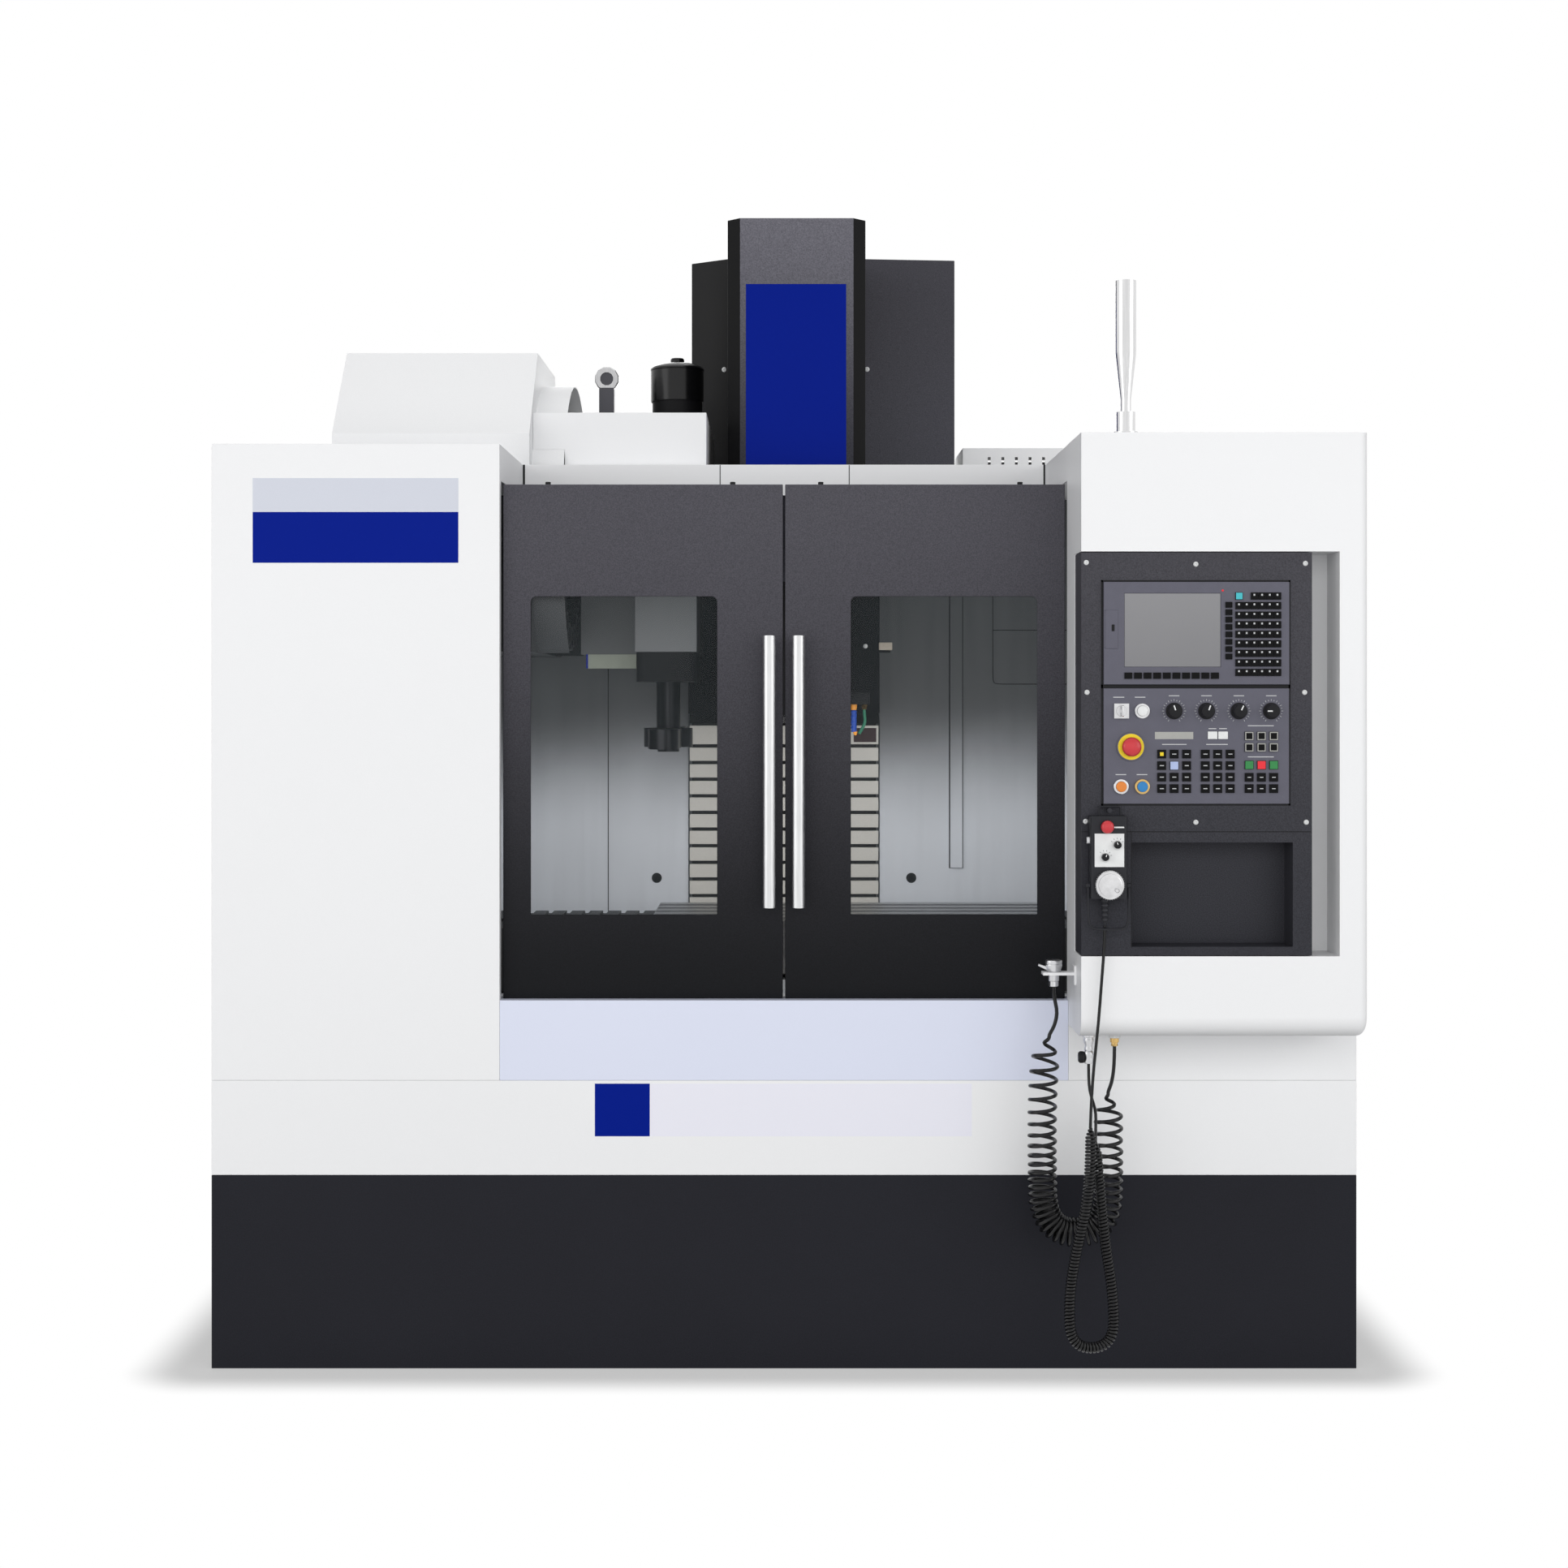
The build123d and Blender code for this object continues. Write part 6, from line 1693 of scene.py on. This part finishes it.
@dataclass
class Handhelds:
    """The hand pendant on its peg and the air gun in its hook."""

    face: float = -1105.3
    side_left: float = 635.0
    side_right: float = 711.0
    bottom: float = 1048.0
    top: float = 1219.0
    bail_sides: Pair = (631.0, 715.0)
    bail_depth: float = -1096.0
    bail_pivot: float = 1075.0
    hanger_depth: float = -1074.0
    button_place: Pair = (-1084.0, 1168.0)
    axis_place: Pair = (689.7, 1160.0)
    step_place: Pair = (664.4, 1134.6)
    wheel_place: Pair = (673.0, 1077.0)
    knurls: int = 40
    stop_place: Pair = (668.6, 1197.0)
    boot_place: Pair = (667.0, -1085.0)
    boot_ribs: int = 5
    boot_pitch: float = 10.0
    gun_place: Triple = (575.0, -960.0, 0.0)

    def case(self) -> None:
        """Makes the pendant's case with its bail and its strain relief."""
        near, far, under, over = -1200, -1000, 900, 1300
        drop = [
            ((500, near, under), (800, far, self.bottom - 0.5)),
            ((500, near, under), (self.side_left - 0.1, far, over)),
            ((self.side_right + 0.1, near, under), (800, far, over)),
            ((500, near, self.top + 0.3), (800, far, over)),
        ]
        case = Shape().node_copy("pendant", 2.5, drop)
        x, y = self.boot_place
        ribs = [(0, self.bottom)]
        for n in range(self.boot_ribs):
            radius, z = 8.5 - 0.6 * n, self.bottom - 2 - n * self.boot_pitch
            ribs += [(radius, z), (radius, z - 6), (radius - 2.2, z - 7), (radius - 2.6, z - 9)]
        case.turned([*ribs, (4.2, 991), (0, 991)], (x, y, 0), UP, 32)
        (left, right), pivot = self.bail_sides, self.bail_pivot
        bail = [(left, pivot), (left, 1040), (left, 1012), (634, 988), (652, 984), (673, 984)]
        bail += [(694, 984), (712, 988), (right, 1012), (right, 1040), (right, pivot)]
        case.tube([(px, self.bail_depth, pz) for px, pz in bail], 2.6)
        for px in (left, right):
            case.rod((px - 4, self.bail_depth, pivot), (px + 4, self.bail_depth, pivot), 5, bevel=1)
        case.finished("pendant_case", PENDANT, "console", Slot.PENDANT, "pendant")
        lines = Shape()
        for n in range(self.boot_ribs):
            lines.ring((x, y, self.bottom - 5 - n * self.boot_pitch), UP, 8.3 - 0.6 * n, 0.6, 32)
        lines.finished("boot_lines", POST, "console", Slot.PENDANT)

    def hanger(self) -> None:
        """Makes the pendant's hanger loop and its side button."""
        wire = [(656, 1216), (656, 1226), (656, 1234), (658, 1237), (664, 1237), (678.5, 1237), (693, 1237)]
        wire += [(699, 1237), (701, 1234), (701, 1226), (701, 1216)]
        loop = Shape().tube([(px, self.hanger_depth, pz) for px, pz in wire], 2)
        loop.finished("pendant_hanger", PENDANT, "console", Slot.PENDANT)
        x, (y, z) = self.side_left, self.button_place
        enable = Shape().rod((x + 0.4, y, z), (x - 6, y, z), 8, 7.4, 0.8)
        enable.finished("pendant_side_button", ALUMINIUM, "console", Slot.SILVER)

    def selectors(self) -> None:
        """Makes the pale plate, the marks and the two selectors."""
        plate = Shape().film((643, 704), (1114, 1183), self.face, 0.25)
        plate.film((680, 704), (1194.5, 1197.5), self.face)
        plate.finished("pendant_plate", PEARL, "console", Slot.SILVER)
        marks = Shape()
        for centre, start in ((self.axis_place, -60), (self.step_place, -45)):
            for step in range(5):
                marks.tick(centre, math.radians(start + 30 * step), 11.8, 14.6, 1.4, self.face - 0.25)
        marks.finished("pendant_marks", GREY_CAST, "console", Slot.PENDANT)
        rim = [(0, 0), (10, 0), (10, 3), (9.4, 4), (0, 4)]
        grip = [(0, 4), (8, 4), (8, 5), (7.2, 13), (6.4, 14), (0, 14)]
        y = self.face - 0.3
        for name, (x, z), turn in (
            ("axis_selector", self.axis_place, -20),
            ("step_selector", self.step_place, 15),
        ):
            disc = Shape().turned(rim, (x, y, z), FORWARD)
            disc.finished(f"{name}_disc", PEARL, name, Slot.SILVER)
            knob = Shape().turned(grip, (x, y, z), FORWARD).rod((x, y, z), (x, y + 10, z), 3)
            knob.finished(f"{name}_knob", BLACK, name, Slot.BLACK, name)
            pointer = Shape().tick((x, z), math.radians(turn), 1, 6, 1.6, y - 14)
            pointer.finished(f"{name}_pointer", PEARL, name, Slot.SILVER)

    def controls(self) -> None:
        """Makes the pendant's stop and its hand wheel with the knurled rim and the peg."""
        x, z = self.stop_place
        cap = [(0, -16), (6, -16), (6, 0), (12.6, 0), (13.5, 1), (13.5, 3.6), (11.8, 7.2), (7, 9.4), (0, 10)]
        stop = Shape().turned(cap, (x, self.face - 5, z), FORWARD)
        stop.finished("pendant_stop_cap", RED, "pendant_stop", Slot.RED, "pendant_stop")
        (x, z), y = self.wheel_place, self.face - 0.3
        disc = [(0, -18), (6, -18), (6, 0), (28, 0), (30.5, 2), (30.5, 12), (29, 14), (24.4, 14.4)]
        disc += [(23.6, 19.6), (22, 20.6), (0, 20.8)]
        wheel = Shape().turned(disc, (x, y, z), FORWARD, 64)
        for n in range(self.knurls):
            turn = math.tau * n / self.knurls
            px, pz = x + 30.3 * math.cos(turn), z + 30.3 * math.sin(turn)
            wheel.rod((px, self.face - 2.6, pz), (px, self.face - 12, pz), 0.7, sides=6)
        peg = [(0, 0), (3, 0), (3, 21), (4.2, 22), (4.2, 28.6), (3.2, 29.7), (0, 29.7)]
        wheel.turned(peg, (x + 13, y, z - 10), FORWARD, 24)
        wheel.finished("pendant_wheel", CHROME, "pendant_handwheel", Slot.CHROME, "pendant_handwheel")

    def gun(self) -> None:
        """Makes the air gun's head, valve and lever."""
        body = [(0, 849), (8.4, 849), (9, 850), (9, 860), (11, 861), (11.5, 862), (11.5, 880.3)]
        body += [(14.6, 880.5), (15.4, 884), (18, 892), (18, 896), (17.2, 897), (18, 898), (18, 903.4)]
        shape = Shape().turned([*body, (16.6, 905), (0, 905)], self.gun_place, UP, 48)
        lever = [(563, 882.3), (541, 893.3), (543, 897.3), (563, 890.3)]
        shape.plate([(px, -965, pz) for px, pz in lever], (0, 10, 0), 1)
        shape.finished("air_gun_body", ALUMINIUM, "frame", Slot.SILVER, "air_gun")
        nut = Shape().turned([(0, 850), (10.4, 850), (10.4, 859), (0, 859)], self.gun_place, UP, 6)
        nut.finished("air_gun_nut", ALUMINIUM, "frame", Slot.STEEL)

    def build(self) -> None:
        """Makes both."""
        self.case()
        self.hanger()
        self.selectors()
        self.controls()
        self.gun()


@dataclass
class RearSide:
    """The column, the bed, the shroud and the electrical cabinet."""

    door_back: float = 878.0
    switch_place: Pair = (1010.0, 1500.0)
    plate_half: float = 32.0
    screw_places: tuple[Pair, ...] = ((-164.0, 450.6), (228.0, 445.0))
    screw_height: float = 2367.0
    gland_place: Triple = (640.0, 710.0, 422.0)
    gland_pitch: float = 70.0
    gland_count: int = 4

    def build(self) -> None:
        """Makes the rear."""
        dress(GREY_CAST, "bed", "column")
        reskin("column_shroud", "shroud_skin", SHROUD_SHADED_COAT, Slot.CHARCOAL, 1.2)
        screws = Shape()
        for x, y in self.screw_places:
            screws.screw((x, y, self.screw_height), FORWARD, 7)
        screws.finished("shroud_screws", PEARL, "frame", Slot.SILVER)
        reskin("electrical_cabinet", "cabinet_skin", WHITE, Slot.WHITE, 1.0)
        reskin("cabinet_door", "cabinet_door_skin", WHITE, Slot.WHITE, 1.0, "cabinet_door")
        (x, z), y, half = self.switch_place, self.door_back, self.plate_half
        plate = Shape().block((x - half, y, z - half), (x + half, y + 3, z + half), 1)
        plate.finished("main_switch_plate", YELLOW, "cabinet_door", Slot.SILVER)
        knob = Shape().turned([(0, 2.8), (24, 2.8), (24, 9), (20, 12), (0, 12)], (x, y, z), BACKWARD)
        knob.block((x - 6, y + 11, z - 26), (x + 6, y + 26, z + 26), 3)
        knob.finished("main_switch_knob", RED, "cabinet_door", Slot.RED)
        gland = [(0, 0), (14, 0), (14, -8), (11, -10), (11, -22), (8, -26), (0, -26)]
        x, y, z = self.gland_place
        glands = Shape()
        for n in range(self.gland_count):
            glands.turned(gland, (x + self.gland_pitch * n, y, z), UP, 24)
        glands.finished("cabinet_glands", BLACK, "frame", Slot.BLACK)


@dataclass
class Studio:
    """The camera, the white floor and the soft lights, in metres."""

    distance: float = 5.845
    eye: float = 1.462
    lens: float = 52.58
    shift: float = -0.0543
    floor_size: float = 60.0
    floor_tone: float = 0.45
    floor_near: float = 0.42
    shadow_start: float = 0.055
    shadow_reach: float = 0.20
    footprint: Triple = (1.25, 0.1455, 0.9905)
    room_light: float = 0.30

    def camera(self) -> None:
        """Places the camera, level and square to the front."""
        data = bpy.data.cameras.new("front_camera")
        data.lens = self.lens
        data.sensor_width = 36.0
        data.shift_y = self.shift
        data.clip_end = 200.0
        holder = placed("front_camera", data)
        holder.location = (0, -self.distance, self.eye)
        holder.rotation_euler = (math.radians(90), 0, 0)
        bpy.context.scene.camera = holder

    @staticmethod
    def seen_rays(graph: Graph) -> Signal:
        """Tells the rays that show the background from those that light the object.

        Args:
            graph: the graph that asks.

        Returns:
            1 for camera, glossy and transmission rays, and 0 for others.
        """
        paths = graph.node("ShaderNodeLightPath")
        kinds = ("Camera", "Glossy", "Transmission")
        camera, glossy, through = (Signal(graph, paths.outputs[f"Is {kind} Ray"]) for kind in kinds)
        return camera.maths("MAXIMUM", camera.maths("MAXIMUM", camera, glossy), through)

    @staticmethod
    def beyond(place: Signal, half: float) -> Signal:
        """Returns: how far a place lies outside a span about zero, or 0 inside."""
        outside = place.maths("ABSOLUTE", place) - half
        return outside.maths("MAXIMUM", outside, 0.0)

    def floor(self) -> None:
        """Lays a floor that the camera sees as white, with a painted shadow band round the machine's foot
        over the real shadow.
        """
        mesh = bmesh.new()
        bmesh.ops.create_grid(mesh, x_segments=1, y_segments=1, size=self.floor_size)
        data = bpy.data.meshes.new("studio_floor")
        mesh.to_mesh(data)
        mesh.free()
        surface = Surface("floor_white_painted_shadow")
        surface.wire("Base Color", (self.floor_tone,) * 3)
        surface.dull(surface.noise(2.0), 0.925, 0.05)
        glow = surface.signal("ShaderNodeEmission", 0, {}, {"Color": (1, 1, 1, 1), "Strength": 1.0})
        half, middle, depth = self.footprint
        aside = self.beyond(surface.axis("X"), half)
        before = self.beyond(surface.axis("Y") - middle, depth)
        reach = aside * aside + before * before
        reach = reach.maths("SQRT", reach)
        # Less glow near the footprint paints a shadow band round the machine's foot, over the real shadow
        # that the diffuse floor keeps.
        spread = reach.step(self.shadow_start, self.shadow_reach) * (1 - self.floor_near) + self.floor_near
        share = spread * self.seen_rays(surface)
        inputs = {0: share, 1: Signal(surface, surface.shader.outputs[0]), 2: glow}
        mixed = surface.node("ShaderNodeMixShader", {}, inputs)
        surface.tree.links.new(mixed.outputs[0], surface.output.inputs[0])
        data.materials.append(surface.material)
        floor = placed("studio_floor", data)
        floor.location.z = -0.0005

    def world(self) -> None:
        """Surrounds the machine with white that lights it softly."""
        world = bpy.data.worlds.new("studio_world")
        world.use_nodes = True
        bpy.context.scene.world = world
        sky = Graph(world.node_tree)
        seen = self.seen_rays(sky)
        level = seen * (1 - self.room_light) + self.room_light
        back = sky.signal("ShaderNodeBackground", 0, {}, {"Color": (1, 1, 1, 1), "Strength": level})
        sky.node("ShaderNodeOutputWorld", {}, {0: back})

    def lamp(
        self,
        name: str,
        place: Point,
        aim: Point,
        size: Pair,
        power: float,
        mirrored: bool = True,
    ) -> None:
        """Adds a soft box that points at a place.

        Args:
            name: its name.
            place: where it stands.
            aim: what it points at.
            size: its width and height.
            power: its power in watts.
            mirrored: whether glossy surfaces show it.
        """
        data = bpy.data.lights.new(name, "AREA")
        data.shape = "RECTANGLE"
        data.size, data.size_y = size
        data.energy = power
        holder = placed(name, data)
        holder.location = place
        holder.rotation_euler = (Vector(aim) - Vector(place)).to_track_quat("-Z", "Y").to_euler()
        holder.visible_glossy = mirrored

    def build(self) -> None:
        """Sets the studio up."""
        bpy.context.scene.view_settings.view_transform = "Standard"
        self.camera()
        self.floor()
        self.world()
        self.lamp("front_box", (0.0, -7.2, 2.35), (0.0, -0.8, 2.35), (14.0, 4.6), 425.0, False)
        self.lamp("left_box", (-5.0, -3.5, 2.6), (0.0, -0.4, 1.2), (3.0, 3.0), 35.0)
        self.lamp("right_box", (5.0, -3.5, 2.4), (0.0, -0.4, 1.2), (3.0, 3.0), 30.0)
        self.lamp("top_box", (0.0, 0.4, 5.2), (0.0, 0.0, 0.0), (4.0, 4.0), 45.0)
        self.lamp("back_box", (0.0, 5.0, 3.5), (0.0, 0.4, 1.4), (3.0, 3.0), 90.0)
        self.lamp("work_light", (0.0, -0.40, 1.25), (0.0, 0.5, 1.12), (1.9, 0.9), 8.5, False)


def main() -> None:
    """Builds the studio and the machine, piece by piece."""
    logging.basicConfig(level=logging.INFO, format="%(message)s")
    sub_assemblies = [
        Studio(),
        Cords(),
        SheetMetal(),
        SlidingDoor("left", -1, (113.0, 520.0)),
        SlidingDoor("right", 1, (81.0, 520.0)),
        WorkArea(),
        MillingHead(),
        ToolChanger(),
        ControlStation(),
        Handhelds(),
        RearSide(),
    ]
    for part in sub_assemblies:
        LOG.info("building %s", type(part).__name__)
        part.build()


if __name__ == "__main__":
    main()
